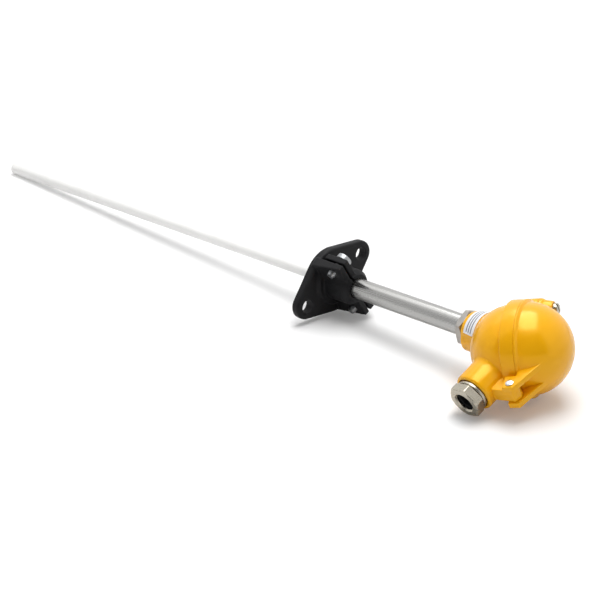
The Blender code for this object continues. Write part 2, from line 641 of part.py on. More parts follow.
# Lid: dome, lip, hinge arms and screw boss, hollowed from below.
hinge_point = (-PIN_DROP, 0, -pin_reach)
lip_top = seam + LIP_HEIGHT + LIP_SLOPE
dome_foot = acos((lip_top + DOME_DROP) / dome_radius)
lid_profile = [(seam, 0), (seam, band_radius), (seam + LIP_HEIGHT, band_radius)]
lid_profile += arc(-DOME_DROP, dome_radius, dome_foot, 0)
lid = make_object("lid", turned(lid_profile, ROUND_FINE), head, lid_yellow, hinge_point)
lug_profile = [(seam, 0), (seam, LUG_RADIUS), (LID_LUG_HEIGHT - LID_LUG_EDGE, LUG_RADIUS),
               (LID_LUG_HEIGHT, LUG_RADIUS - LID_LUG_EDGE), (LID_LUG_HEIGHT, 0)]
lid_lug = make_tool("lid_lug", turned(lug_profile, ROUND // 2, offset=(0, screw_reach)), head)
screw_boss = make_tool("screw_boss", rod(seam + FIT_GAP, SCREW_BOSS_HEIGHT, SCREW_BOSS_RADIUS, ROUND // 2,
                                         offset=(0, screw_reach)), head)
arm_edge = ARM_SWING * 0.78
arm_outline = [(ARM_RISE, -sqrt(dome_radius ** 2 - ARM_RISE ** 2) * 0.86),
               (-PIN_DROP + arm_edge * 0.5, -pin_reach - arm_edge * 0.74),
               (-PIN_DROP - arm_edge * 0.8, -pin_reach - arm_edge * 0.70),
               (-PIN_DROP - arm_edge * 0.8, -pin_reach + ARM_SWING - ARM_CLEAR),
               (seam + FIT_GAP, -pin_reach + ARM_SWING - FIT_GAP * 2),
               (seam + LIP_HEIGHT / 2, -band_radius * 0.8), (ARM_RISE * 0.7, -dome_radius * 0.7)]
arms = [make_tool(name, prism(arm_outline, min(low, high), max(low, high), "y"), head)
        for name, low, high in (("arm_upper", -arm_outer, -arm_inner), ("arm_lower", arm_inner, arm_outer))]
combine(lid, "UNION", lid_lug, screw_boss, *arms)
lid_hollow = dome_radius - LID_WALL
hollow = turned([(-OVERRUN, 0), (-OVERRUN, lid_hollow)] + arc(-DOME_DROP, lid_hollow, pi / 2, 0), ROUND_FINE)
screw_hole = rod(seam - OVERRUN, SCREW_BOSS_HEIGHT + OVERRUN, SCREW_DIA / 2 + FIT_GAP, ROUND_SMALL,
                 offset=(0, screw_reach))
arm_hole = rod(-arm_outer - OVERRUN, arm_outer + OVERRUN, PIN_DIA / 2 + FIT_GAP)
lid_cuts = gathered(placed(hollow, head_space), placed(screw_hole, head_space), placed(arm_hole, pin_space))
combine(lid, "DIFFERENCE", make_tool("lid_cuts", lid_cuts, assembly))

gasket_in = cavity_radius + FIT_GAP
make_object("lid_gasket", turned([(-GASKET_DEPTH, gasket_in), (0, gasket_in), (0, gasket_in + GASKET_WIDTH),
                                  (-GASKET_DEPTH, gasket_in + GASKET_WIDTH)], ROUND_FINE, ring=True),
            head, gasket_rubber)

pin_end = arm_outer + FIT_GAP
make_object("hinge_pin", turned([(-pin_end - PIN_HEAD, 0), (-pin_end - PIN_HEAD, PIN_HEAD_DIA * 0.42),
                                 (-pin_end - PIN_HEAD * 0.4, PIN_HEAD_DIA / 2), (-pin_end, PIN_HEAD_DIA / 2),
                                 (-pin_end, PIN_DIA / 2), (pin_end, PIN_DIA / 2), (pin_end, PIN_HEAD_DIA / 2),
                                 (pin_end + PIN_HEAD * 0.4, PIN_HEAD_DIA / 2),
                                 (pin_end + PIN_HEAD, PIN_HEAD_DIA * 0.42), (pin_end + PIN_HEAD, 0)], 24),
            pin_line, bolt_steel)


def slotted_screw(name, seat, grip, radius, head_radius, head_height, parent, material, offset, slot):
    # A cheese-head screw along X, its head standing on the seat, with a slot across the head.
    y, z = offset
    foot = seat + FIT_GAP
    profile = [(seat - grip, 0), (seat - grip, radius), (foot, radius), (foot, head_radius),
               (foot + head_height * 0.8, head_radius), (foot + head_height, head_radius * 0.86),
               (foot + head_height, 0)]
    shape = turned(profile, ROUND_SMALL, offset=offset)
    screw = make_object(name, shape, parent, material, (0, y, z))
    cut = block((foot + head_height * 0.55, y - head_radius - OVERRUN, z - slot / 2),
                (foot + head_height + OVERRUN, y + head_radius + OVERRUN, z + slot / 2))
    combine(screw, "DIFFERENCE", make_tool(name + "_slot", cut, parent))
    return screw


slotted_screw("lid_screw", SCREW_BOSS_HEIGHT, SCREW_BOSS_HEIGHT + SCREW_GRIP, SCREW_DIA / 2,
              SCREW_HEAD_DIA / 2, SCREW_HEAD, head, bolt_steel, (0, screw_reach), SCREW_SLOT)

# Cable gland: ring, body, seal and nut along the boss's axis.
make_object("gland_ring", tube(boss_floor + FIT_GAP, boss_floor + FIT_GAP + GLAND_RING, GLAND_COLLAR / 2,
                               GLAND_THREAD / 2 + FIT_GAP), gland, gasket_rubber)
thread_end = boss_floor - GLAND_INSIDE
front_end = nut_floor - FIT_GAP
gland_profile = [(thread_end, GLAND_THREAD / 2), (collar_x, GLAND_THREAD / 2), (collar_x, GLAND_COLLAR / 2),
                 (collar_end, GLAND_COLLAR / 2), (collar_end, GLAND_FRONT_THREAD / 2),
                 (front_end, GLAND_FRONT_THREAD / 2), (front_end, GLAND_BORE / 2),
                 (thread_end, GLAND_BORE / 2)]
make_object("gland_body", turned(gland_profile, ROUND, ring=True), gland, nickel)
seal = tube(front_end - SEAL_LENGTH, front_end, GLAND_BORE / 2 - FIT_GAP, SEAL_BORE / 2, 32)
make_object("gland_seal", seal, gland, rubber)
gland_nut = hexagon_with_chamfers("gland_nut", NUT_HEX, nut_x, nut_end, gland, nickel, NUT_TURN)
nut_thread = GLAND_FRONT_THREAD / 2 + FIT_GAP
nut_profile = [(nut_x - OVERRUN, 0), (nut_x - OVERRUN, nut_thread), (nut_floor, nut_thread),
               (nut_floor, NUT_BORE / 2), (nut_end - NUT_LIP / 4, NUT_BORE / 2),
               (nut_end + OVERRUN, NUT_BORE / 2 + NUT_LIP / 4 + OVERRUN), (nut_end + OVERRUN, 0)]
combine(gland_nut, "DIFFERENCE", make_tool("nut_cut", turned(nut_profile, ROUND), gland))

# Terminal block on its two pillars, with a post and two clamp screws for each wire.
terminal_block = make_object("terminal_block", rounded_rod(block_x, block_top, block_radius, BLOCK_EDGE),
                             assembly, block_ceramic)
block_holes = []
for side, name in ((1, "upper"), (-1, "lower")):
    z = side * block_screw_z
    block_holes.append(rod(block_x - OVERRUN, block_top + OVERRUN, BLOCK_SCREW_DIA / 2 + FIT_GAP, ROUND_SMALL,
                           offset=(0, z)))
    slotted_screw("block_screw_" + name, block_top, BLOCK_HEIGHT + PILLAR_GRIP, BLOCK_SCREW_DIA / 2,
                  BLOCK_SCREW_HEAD_DIA / 2, BLOCK_SCREW_HEAD, assembly, bolt_steel, (0, z), SCREW_SLOT)

for side, name in ((1, "positive"), (-1, "negative")):
    y = side * POST_SPACING / 2
    wire_hole = WIRE_DIA / 2 + WIRE_PLAY
    block_holes.append(rod(block_x - OVERRUN, block_top + OVERRUN, wire_hole, 12, offset=(y, 0)))
    post_holes = [rod(post_x - OVERRUN, post_x + POST_ENTRY + FIT_GAP, wire_hole, 12, offset=(y, 0))]
    post = make_object("terminal_post_" + name, block((post_x, y - POST_WIDTH / 2, -POST_DEPTH / 2),
                                                      (post_top, y + POST_WIDTH / 2, POST_DEPTH / 2)),
                       assembly, brass)
    for place, z in (("upper", CLAMP_SCREW_SPACING / 2), ("lower", -CLAMP_SCREW_SPACING / 2)):
        post_holes.append(rod(post_top - CLAMP_SCREW_LENGTH - FIT_GAP, post_top + OVERRUN,
                              CLAMP_SCREW_DIA / 2 + FIT_GAP, ROUND_SMALL, offset=(y, z)))
        slotted_screw("clamp_screw_%s_%s" % (name, place), post_top, CLAMP_SCREW_LENGTH,
                      CLAMP_SCREW_DIA / 2, CLAMP_SCREW_HEAD_DIA / 2, CLAMP_SCREW_HEAD, assembly, bolt_steel,
                      (y, z), CLAMP_SCREW_SLOT)
    combine(post, "DIFFERENCE", make_tool("post_holes_" + name, gathered(*post_holes), assembly))
combine(terminal_block, "DIFFERENCE", make_tool("block_holes", gathered(*block_holes), assembly))
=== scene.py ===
from math import acos, atan2, cos, pi, radians, sin, sqrt, tan

import bpy
from mathutils import Matrix, Vector


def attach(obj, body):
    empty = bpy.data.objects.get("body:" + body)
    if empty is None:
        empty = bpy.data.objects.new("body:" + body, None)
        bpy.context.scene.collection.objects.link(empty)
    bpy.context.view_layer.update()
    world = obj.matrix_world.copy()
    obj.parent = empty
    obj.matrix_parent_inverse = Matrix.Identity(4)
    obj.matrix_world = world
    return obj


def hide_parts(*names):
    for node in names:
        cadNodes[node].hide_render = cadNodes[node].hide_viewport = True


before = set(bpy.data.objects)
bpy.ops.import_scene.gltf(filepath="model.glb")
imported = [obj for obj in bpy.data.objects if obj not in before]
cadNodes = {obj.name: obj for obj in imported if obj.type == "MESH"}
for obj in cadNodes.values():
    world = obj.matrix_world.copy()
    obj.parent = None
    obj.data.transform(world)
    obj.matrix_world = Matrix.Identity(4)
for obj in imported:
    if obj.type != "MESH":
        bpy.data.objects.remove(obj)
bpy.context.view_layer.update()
print("frame loaded:", len(cadNodes), "nodes")

# The probe runs along X and the head leans back from the gland; the whole part lies rolled about X.
lay = {
    "roll": radians(-65.24),
    "rimX": 0.1928,
    "rimTilt": radians(26),
    "glandX": 0.1828,
    "clampTurn": radians(6),
    "pinDrop": 0.0021,
    "pinReach": 0.0412,
    "screwReach": 0.0370,
    "gap": 0.0003,
    "overrun": 0.002,
}
gap = lay["gap"]
overrun = lay["overrun"]
probeSpace = Matrix.Rotation(lay["roll"], 4, "X")
headSpace = probeSpace @ Matrix.Translation((lay["rimX"], 0, 0)) @ Matrix.Rotation(-lay["rimTilt"], 4, "Y")
glandSpace = probeSpace @ Matrix.Translation((lay["glandX"], 0, 0)) @ Matrix.Rotation(pi / 2, 4, "Y")
clampSpace = probeSpace @ Matrix.Rotation(lay["clampTurn"], 4, "X")
pinSpace = (headSpace @ Matrix.Translation((-lay["pinDrop"], 0, -lay["pinReach"]))
            @ Matrix.Rotation(pi / 2, 4, "Z"))
lidScrewSpace = headSpace @ Matrix.Translation((0, 0, lay["screwReach"]))


def pickOnly(piece=None):
    if bpy.context.object and bpy.context.object.mode != "OBJECT":
        bpy.ops.object.mode_set(mode="OBJECT")
    bpy.ops.object.select_all(action="DESELECT")
    if piece:
        piece.select_set(True)
        bpy.context.view_layer.objects.active = piece


def drawChain(name, points):
    pickOnly()
    bpy.ops.mesh.primitive_plane_add(size=0.001)
    piece = bpy.context.object
    piece.name = name
    bpy.ops.object.mode_set(mode="EDIT")
    bpy.ops.mesh.select_all(action="SELECT")
    bpy.ops.mesh.merge(type="CENTER")
    bpy.ops.transform.translate(value=points[0])
    for start, end in zip(points, points[1:]):
        step = Vector(end) - Vector(start)
        bpy.ops.mesh.extrude_vertices_move(TRANSFORM_OT_translate={"value": step})
    bpy.ops.mesh.select_all(action="SELECT")
    return piece


def spinProfile(name, profile, steps=96, ring=False):    # (x, radius) points spun about X
    points = [(x, 0.0, radius) for x, radius in profile]
    if ring:
        points.append(points[0])
    piece = drawChain(name, points)
    bpy.ops.mesh.spin(steps=steps, angle=2 * pi, center=(0, 0, 0), axis=(1, 0, 0))
    bpy.ops.mesh.select_all(action="SELECT")
    bpy.ops.mesh.remove_doubles(threshold=2e-6)
    bpy.ops.mesh.normals_make_consistent(inside=False)
    bpy.ops.object.mode_set(mode="OBJECT")
    return piece


def roundTool(name, start, end, radius, steps=48):    # plain cylinder along X, to cut with
    return spinProfile(name, [(start, 0), (start, radius), (end, radius), (end, 0)], steps)


def drawPlate(name, outline, low, high):    # (x, z) outline drawn out along Y
    piece = drawChain(name, [(x, low, z) for x, z in outline])
    bpy.ops.mesh.edge_face_add()
    bpy.ops.mesh.extrude_region_move(TRANSFORM_OT_translate={"value": (0, high - low, 0)})
    bpy.ops.mesh.select_all(action="SELECT")
    bpy.ops.mesh.normals_make_consistent(inside=False)
    bpy.ops.object.mode_set(mode="OBJECT")
    return piece


def softCorners(points, steps=5):    # a third number on a point rounds that corner
    path = []
    for i, point in enumerate(points):
        here = Vector(point[:2])
        radius = point[2] if len(point) > 2 else 0
        if not radius:
            path.append(tuple(here))
            continue
        before = (Vector(points[i - 1][:2]) - here).normalized()
        after = (Vector(points[(i + 1) % len(points)][:2]) - here).normalized()
        bend = acos(max(-1.0, min(1.0, before.dot(after))))
        first = here + before * radius / tan(bend / 2)
        last = here + after * radius / tan(bend / 2)
        centre = here + (before + after).normalized() * radius / sin(bend / 2)
        start = atan2(first.y - centre.y, first.x - centre.x)
        sweep = atan2(last.y - centre.y, last.x - centre.x) - start
        sweep = (sweep + pi) % (2 * pi) - pi
        for k in range(steps + 1):
            turn = start + sweep * k / steps
            path.append((centre.x + radius * cos(turn), centre.y + radius * sin(turn)))
    return path


def arcPoints(centre, radius, start, end, steps):
    return [(centre + radius * cos(start + (end - start) * i / steps),
             max(0.0, radius * sin(start + (end - start) * i / steps))) for i in range(steps + 1)]


def settle(piece, space):
    bpy.context.view_layer.update()
    piece.matrix_world = space @ piece.matrix_world
    pickOnly(piece)
    bpy.ops.object.transform_apply(location=True, rotation=True, scale=True)
    return piece


def applyChange(piece, change):
    pickOnly(piece)
    bpy.ops.object.modifier_apply(modifier=change.name)


def combine(piece, operation, *tools):
    for tool in tools:
        change = piece.modifiers.new("shape", "BOOLEAN")
        change.operation = operation
        change.solver = "EXACT"
        change.object = tool
        applyChange(piece, change)
        bpy.data.objects.remove(tool, do_unlink=True)
    return piece


def bevelEdges(piece, width, segments=3, angle=30):
    change = piece.modifiers.new("edge", "BEVEL")
    change.width = width
    change.segments = segments
    change.limit_method = "ANGLE"
    change.angle_limit = radians(angle)
    applyChange(piece, change)
    return piece


def castSkin(piece, voxel, passes, keep):    # blends the joins of a casting into small fillets
    change = piece.modifiers.new("skin", "REMESH")
    change.mode = "VOXEL"
    change.voxel_size = voxel
    applyChange(piece, change)
    change = piece.modifiers.new("soften", "SMOOTH")
    change.factor = 0.5
    change.iterations = passes
    applyChange(piece, change)
    change = piece.modifiers.new("thin", "DECIMATE")
    change.ratio = keep
    applyChange(piece, change)
    return piece


def hexPrism(name, acrossFlats, start, end, turn, edge):
    corner = acrossFlats / sqrt(3)
    pickOnly()
    bpy.ops.mesh.primitive_cylinder_add(vertices=6, radius=corner, depth=end - start)
    piece = bpy.context.object
    piece.name = name
    upright = Matrix.Rotation(pi / 2, 4, "Y")
    settle(piece, Matrix.Rotation(turn, 4, "X") @ Matrix.Translation(((start + end) / 2, 0, 0)) @ upright)
    bevelEdges(piece, edge, 2)
    drop = corner - acrossFlats / 2 * 0.98
    facing = spinProfile(name + "Facing", [
        (start, 0), (start, corner - drop), (start + drop * 0.6, corner + gap),
        (end - drop * 0.6, corner + gap), (end, corner - drop), (end, 0)], 96)
    return combine(piece, "INTERSECT", facing)


def finishPiece(piece, body, node, material, angle=32):
    pickOnly(piece)
    bpy.ops.object.mode_set(mode="EDIT")
    bpy.ops.mesh.select_all(action="SELECT")
    bpy.ops.mesh.remove_doubles(threshold=5e-6)
    bpy.ops.object.mode_set(mode="OBJECT")
    bpy.ops.object.shade_smooth_by_angle(angle=radians(angle))
    piece.data.materials.clear()
    piece.data.materials.append(material)
    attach(piece, body)
    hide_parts(node)
    return piece


# Finishes
def newGroup(name, inputs, outputs):
    group = bpy.data.node_groups.new(name, "ShaderNodeTree")
    for label, kind, value in inputs:
        socket = group.interface.new_socket(label, in_out="INPUT", socket_type=kind)
        if value is not None:
            socket.default_value = value
    for label in outputs:
        group.interface.new_socket(label, in_out="OUTPUT", socket_type="NodeSocketFloat")
    return group, group.nodes.new("NodeGroupInput"), group.nodes.new("NodeGroupOutput")


def addNoise(tree, vector, scale, detail, rough=0.5):
    noise = tree.nodes.new("ShaderNodeTexNoise")
    tree.links.new(vector, noise.inputs["Vector"])
    if isinstance(scale, (int, float)):
        noise.inputs["Scale"].default_value = scale
    else:
        tree.links.new(scale, noise.inputs["Scale"])
    noise.inputs["Detail"].default_value = detail
    noise.inputs["Roughness"].default_value = rough
    return noise.outputs["Fac"]


def addMath(tree, operation, first, second):
    node = tree.nodes.new("ShaderNodeMath")
    node.operation = operation
    for socket, value in zip(node.inputs, (first, second)):
        if isinstance(value, (int, float)):
            socket.default_value = value
        else:
            tree.links.new(value, socket)
    return node.outputs[0]


def makeSkinGroup():    # fine surface height, slow drift of tone and small spots
    group, entry, leave = newGroup(
        "surfaceSkin", [("Vector", "NodeSocketVector", None), ("Fine", "NodeSocketFloat", 900.0),
                        ("Slow", "NodeSocketFloat", 40.0)], ("Height", "Drift", "Spots"))
    vector = entry.outputs["Vector"]
    fine = addNoise(group, vector, entry.outputs["Fine"], 3.0, 0.6)
    slow = addNoise(group, vector, entry.outputs["Slow"], 4.0, 0.55)
    cells = group.nodes.new("ShaderNodeTexVoronoi")
    group.links.new(vector, cells.inputs["Vector"])
    group.links.new(entry.outputs["Fine"], cells.inputs["Scale"])
    near = addMath(group, "LESS_THAN", cells.outputs["Distance"], 0.13)
    rare = addMath(group, "GREATER_THAN", slow, 0.58)
    group.links.new(fine, leave.inputs["Height"])
    group.links.new(slow, leave.inputs["Drift"])
    group.links.new(addMath(group, "MULTIPLY", near, rare), leave.inputs["Spots"])
    return group


def makeGrainGroup():    # streaks drawn out along X
    group, entry, leave = newGroup(
        "drawnGrain", [("Vector", "NodeSocketVector", None), ("Fine", "NodeSocketFloat", 2600.0)],
        ("Streak", "Broad"))
    stretch = group.nodes.new("ShaderNodeVectorMath")
    stretch.operation = "MULTIPLY"
    stretch.inputs[1].default_value = (0.012, 1.0, 1.0)
    group.links.new(entry.outputs["Vector"], stretch.inputs[0])
    streak = addNoise(group, stretch.outputs[0], entry.outputs["Fine"], 3.0, 0.7)
    broad = addNoise(group, stretch.outputs[0], 420.0, 2.0)
    group.links.new(streak, leave.inputs["Streak"])
    group.links.new(broad, leave.inputs["Broad"])
    return group


skinGroup = makeSkinGroup()
grainGroup = makeGrainGroup()


def startMaterial(name, look):
    material = bpy.data.materials.new(name)
    material.use_nodes = True
    tree = material.node_tree
    shader = tree.nodes["Principled BSDF"]
    shader.inputs["Base Color"].default_value = (*look["colour"], 1.0)
    shader.inputs["Roughness"].default_value = look["rough"]
    shader.inputs["Metallic"].default_value = look.get("metal", 0.0)
    shader.inputs["Coat Weight"].default_value = look.get("coat", 0.0)
    shader.inputs["Coat Roughness"].default_value = look.get("coatRough", 0.05)
    shader.inputs["Specular IOR Level"].default_value = look.get("specular", 0.5)
    shader.inputs["Specular Tint"].default_value = (*look.get("tint", (1.0, 1.0, 1.0)), 1.0)
    place = tree.nodes.new("ShaderNodeTexCoord")
    return material, tree, shader, place.outputs["Object"]


def blendColours(tree, amount, first, second):
    mix = tree.nodes.new("ShaderNodeMix")
    mix.data_type = "RGBA"
    for socket, value in ((mix.inputs[6], first), (mix.inputs[7], second)):
        if isinstance(value, (tuple, list)):
            socket.default_value = (*value, 1.0)
        else:
            tree.links.new(value, socket)
    tree.links.new(amount, mix.inputs[0])
    return mix.outputs[2]


def spread(tree, value, low, high):    # a 0 to 1 value drawn out to a range
    node = tree.nodes.new("ShaderNodeMapRange")
    node.inputs["From Min"].default_value = 0.3
    node.inputs["From Max"].default_value = 0.7
    node.inputs["To Min"].default_value = low
    node.inputs["To Max"].default_value = high
    tree.links.new(value, node.inputs["Value"])
    return node.outputs["Result"]


def addBump(tree, shader, height, distance, strength):
    bump = tree.nodes.new("ShaderNodeBump")
    bump.inputs["Distance"].default_value = distance
    bump.inputs["Strength"].default_value = strength
    tree.links.new(height, bump.inputs["Height"])
    tree.links.new(bump.outputs["Normal"], shader.inputs["Normal"])
    return bump


def skinMaterial(name, look):    # paint, castings, ceramics, rubber and plated pieces
    material, tree, shader, vector = startMaterial(name, look)
    skin = tree.nodes.new("ShaderNodeGroup")
    skin.node_tree = skinGroup
    tree.links.new(vector, skin.inputs["Vector"])
    skin.inputs["Fine"].default_value = look["fine"]
    skin.inputs["Slow"].default_value = look["slow"]
    tone = blendColours(tree, spread(tree, skin.outputs["Drift"], 0.0, 1.0), look["colour"], look["second"])
    if "spots" in look:
        tone = blendColours(tree, skin.outputs["Spots"], tone, look["spots"])
    # sharp edges made lighter: partly wear, partly a painted highlight along the edges
    if "edge" in look:
        shape = tree.nodes.new("ShaderNodeNewGeometry")
        edgeRubAndSheen = tree.nodes.new("ShaderNodeMapRange")
        edgeRubAndSheen.inputs["From Min"].default_value = look["edgeFrom"]
        edgeRubAndSheen.inputs["From Max"].default_value = look["edgeTo"]
        tree.links.new(shape.outputs["Pointiness"], edgeRubAndSheen.inputs["Value"])
        wornEdgeAndSheen = addMath(tree, "MULTIPLY", edgeRubAndSheen.outputs["Result"], skin.outputs["Drift"])
        tone = blendColours(tree, wornEdgeAndSheen, tone, look["edge"])
    tree.links.new(tone, shader.inputs["Base Color"])
    change = look.get("roughChange", 0.05)
    tree.links.new(spread(tree, skin.outputs["Drift"], look["rough"] - change, look["rough"] + change),
                   shader.inputs["Roughness"])
    addBump(tree, shader, skin.outputs["Height"], look["depth"], look["bump"])
    return material


def grainMaterial(name, look):    # drawn steel with lengthways grain
    material, tree, shader, vector = startMaterial(name, look)
    grain = tree.nodes.new("ShaderNodeGroup")
    grain.node_tree = grainGroup
    tree.links.new(vector, grain.inputs["Vector"])
    grain.inputs["Fine"].default_value = look["fine"]
    mixed = addMath(tree, "ADD", addMath(tree, "MULTIPLY", grain.outputs["Streak"], 0.6),
                    addMath(tree, "MULTIPLY", grain.outputs["Broad"], 0.4))
    tree.links.new(blendColours(tree, spread(tree, mixed, 0.0, 1.0), look["colour"], look["second"]),
                   shader.inputs["Base Color"])
    change = look.get("roughChange", 0.08)
    tree.links.new(spread(tree, mixed, look["rough"] - change, look["rough"] + change),
                   shader.inputs["Roughness"])
    addBump(tree, shader, grain.outputs["Streak"], look["depth"], look["bump"])
    return material


yellowPaint = skinMaterial("yellowPaint", {
    "colour": (0.90, 0.425, 0.003), "second": (0.87, 0.405, 0.003), "rough": 0.21, "roughChange": 0.02,
    "specular": 1.0, "tint": (1.0, 0.72, 0.22), "fine": 700.0, "slow": 45.0, "depth": 0.00004, "bump": 0.25})
# edge tone: partly worn edges, partly a painted highlight on the casting's edges
blackCasting = skinMaterial("blackCasting", {
    "colour": (0.009, 0.009, 0.010), "second": (0.014, 0.014, 0.015), "rough": 0.50, "roughChange": 0.06,
    "specular": 0.13, "fine": 1100.0, "slow": 120.0, "depth": 0.00016, "bump": 0.55,
    "edge": (0.050, 0.050, 0.053), "edgeFrom": 0.52, "edgeTo": 0.60})
whiteCeramic = skinMaterial("whiteCeramic", {
    "colour": (0.95, 0.945, 0.93), "second": (0.92, 0.915, 0.895), "spots": (0.84, 0.82, 0.78), "rough": 0.42,
    "fine": 520.0, "slow": 60.0, "depth": 0.00004, "bump": 0.25})
innerCeramic = skinMaterial("innerCeramic", {
    "colour": (0.80, 0.78, 0.72), "second": (0.72, 0.70, 0.64), "spots": (0.55, 0.50, 0.42), "rough": 0.6,
    "fine": 700.0, "slow": 90.0, "depth": 0.00005, "bump": 0.3})
blockGlaze = skinMaterial("blockGlaze", {
    "colour": (0.78, 0.76, 0.70), "second": (0.72, 0.70, 0.63), "spots": (0.50, 0.44, 0.36), "rough": 0.25,
    "coat": 0.5, "fine": 420.0, "slow": 110.0, "depth": 0.00005, "bump": 0.2})
nickelPlate = skinMaterial("nickelPlate", {
    "colour": (0.49, 0.455, 0.375), "second": (0.44, 0.405, 0.33), "rough": 0.26, "metal": 1.0,
    "fine": 1400.0, "slow": 160.0, "depth": 0.00003, "bump": 0.08})
zincPlate = skinMaterial("zincPlate", {
    "colour": (0.74, 0.75, 0.76), "second": (0.64, 0.65, 0.66), "rough": 0.26, "metal": 1.0, "fine": 1600.0,
    "slow": 260.0, "depth": 0.00003, "bump": 0.3})
greyNutSteel = skinMaterial("greyNutSteel", {
    "colour": (0.43, 0.41, 0.38), "second": (0.37, 0.35, 0.33), "rough": 0.42, "metal": 1.0, "fine": 1300.0,
    "slow": 180.0, "depth": 0.00005, "bump": 0.35})
# bolt steel darker than the zinc plate: steel tone plus painted shade for bolt ends in the flange's shadow
shadeDarkenedBoltSteel = skinMaterial("shadeDarkenedBoltSteel", {
    "colour": (0.40, 0.41, 0.42), "second": (0.32, 0.33, 0.34), "rough": 0.40, "metal": 1.0, "fine": 1600.0,
    "slow": 260.0, "depth": 0.00003, "bump": 0.2})
plainBrass = skinMaterial("plainBrass", {
    "colour": (0.72, 0.50, 0.20), "second": (0.60, 0.40, 0.15), "rough": 0.3, "metal": 1.0, "fine": 1500.0,
    "slow": 220.0, "depth": 0.00003, "bump": 0.3})
blackRubber = skinMaterial("blackRubber", {
    "colour": (0.005, 0.005, 0.005), "second": (0.009, 0.009, 0.009), "rough": 0.72, "specular": 0.15,
    "fine": 1500.0, "slow": 200.0, "depth": 0.00005, "bump": 0.4})
drawnSteel = grainMaterial("drawnSteel", {
    "colour": (0.41, 0.407, 0.396), "second": (0.47, 0.467, 0.455), "rough": 0.25, "metal": 1.0,
    "fine": 2400.0, "depth": 0.00004, "bump": 0.3})
alloyWire = grainMaterial("alloyWire", {
    "colour": (0.40, 0.38, 0.36), "second": (0.52, 0.50, 0.47), "rough": 0.38, "metal": 1.0, "fine": 3000.0,
    "depth": 0.00002, "bump": 0.3})


def makeLabelMaterial():    # white film with plain ruled lines round the neck
    look = {"colour": (0.80, 0.82, 0.85), "line": (0.11, 0.12, 0.18), "rough": 0.38, "coat": 0.3,
            "firstLine": 0.1481, "pitch": 0.0022, "width": 0.0009, "lines": 3, "facing": (0.0, -0.305, 0.952),
            "reach": 0.0076}
    material, tree, shader, vector = startMaterial("labelFilm", look)
    split = tree.nodes.new("ShaderNodeSeparateXYZ")
    tree.links.new(vector, split.inputs[0])
    ruled = None
    for i in range(look["lines"]):
        away = addMath(tree, "SUBTRACT", split.outputs["X"], look["firstLine"] + look["pitch"] * i)
        mark = addMath(tree, "LESS_THAN", addMath(tree, "ABSOLUTE", away, 0.0), look["width"] / 2)
        ruled = mark if ruled is None else addMath(tree, "ADD", ruled, mark)
    across = tree.nodes.new("ShaderNodeVectorMath")
    across.operation = "DOT_PRODUCT"
    across.inputs[1].default_value = look["facing"]
    tree.links.new(vector, across.inputs[0])
    within = addMath(tree, "GREATER_THAN", across.outputs["Value"], look["reach"])
    ink = addMath(tree, "MULTIPLY", ruled, within)
    tree.links.new(blendColours(tree, ink, look["colour"], look["line"]), shader.inputs["Base Color"])
    addBump(tree, shader, addNoise(tree, vector, 900.0, 2.0), 0.00003, 0.2)
    return material


labelFilm = makeLabelMaterial()
print("finishes made:", len(bpy.data.materials))

# Sheath, tube and lock nut
probe = {
    "tipX": -0.3889, "sheathRadius": 0.005, "sheathBore": 0.0035, "sheathNose": 0.0016, "sheathEnd": 0.060,
    "floorX": -0.3849, "tubeRadius": 0.0075, "tubeStart": 0.002, "tubeEnd": 0.1515, "edge": 0.0004,
    "nutHex": 0.0232, "nutStart": 0.1367, "nutEnd": 0.1417, "nutTurn": radians(45), "nutEdge": 0.0003,
    "nutFlare": 0.0006,
}
sheath = spinProfile("ceramicSheath", softCorners([
    (probe["tipX"], 0), (probe["tipX"], probe["sheathRadius"], probe["sheathNose"]),
    (probe["sheathEnd"], probe["sheathRadius"]), (probe["sheathEnd"], probe["sheathBore"]),
    (probe["floorX"], probe["sheathBore"]), (probe["floorX"], 0)], 8), 72)
finishPiece(settle(sheath, probeSpace), "probe", "ceramic_sheath", whiteCeramic)

tubeBore = probe["sheathRadius"] + gap
tube = spinProfile("supportTube", softCorners([
    (probe["tubeStart"], probe["tubeRadius"], probe["edge"]),
    (probe["tubeEnd"], probe["tubeRadius"], probe["edge"]),
    (probe["tubeEnd"], tubeBore), (probe["tubeStart"], tubeBore)]), 96, ring=True)
finishPiece(settle(tube, probeSpace), "probe", "support_tube", drawnSteel)

lockNut = hexPrism("neckLockNut", probe["nutHex"], probe["nutStart"], probe["nutEnd"], probe["nutTurn"],
                   probe["nutEdge"])
lockBore = probe["tubeRadius"] + gap
combine(lockNut, "DIFFERENCE", spinProfile("lockBore", [
    (probe["nutStart"] - overrun, 0),
    (probe["nutStart"] - overrun, lockBore + overrun + probe["nutFlare"]),
    (probe["nutStart"] + probe["nutFlare"], lockBore), (probe["nutEnd"] + overrun, lockBore),
    (probe["nutEnd"] + overrun, 0)], 96))
finishPiece(settle(lockNut, probeSpace), "probe", "neck_lock_nut", greyNutSteel, 20)
print("probe done")

# Stop flange and clamp half
stop = {
    "plate": 0.0075, "holeSpacing": 0.060, "holeRadius": 0.0049, "lobeRadius": 0.0098, "midRadius": 0.0243,
    "plateEdge": 0.0019, "padRadius": 0.017, "padHeight": 0.0022, "padFlare": 0.0016, "hubRadius": 0.013,
    "hubTip": 0.010, "hubFront": 0.0315, "hubTaper": 0.004, "split": 0.0015, "lugReach": 0.0248,
    "lug": 0.0042, "lugRoot": 0.0078, "lugSetback": 0.0012, "standoff": 0.001, "boltRadius": 0.003,
    "boltOffset": 0.0192, "boltX": 0.0213, "boltHeadRadius": 0.0056, "boltHead": 0.004, "boltEdge": 0.001,
    "socket": 0.005, "socketDepth": 0.0024, "boltEnd": 0.0044, "boltLead": 0.0009, "thread": 0.001,
    "threadDepth": 0.00025, "holeEdge": 0.0005,
}
padTop = stop["plate"] + stop["padHeight"]
lugFace = stop["split"] / 2 + stop["lug"]


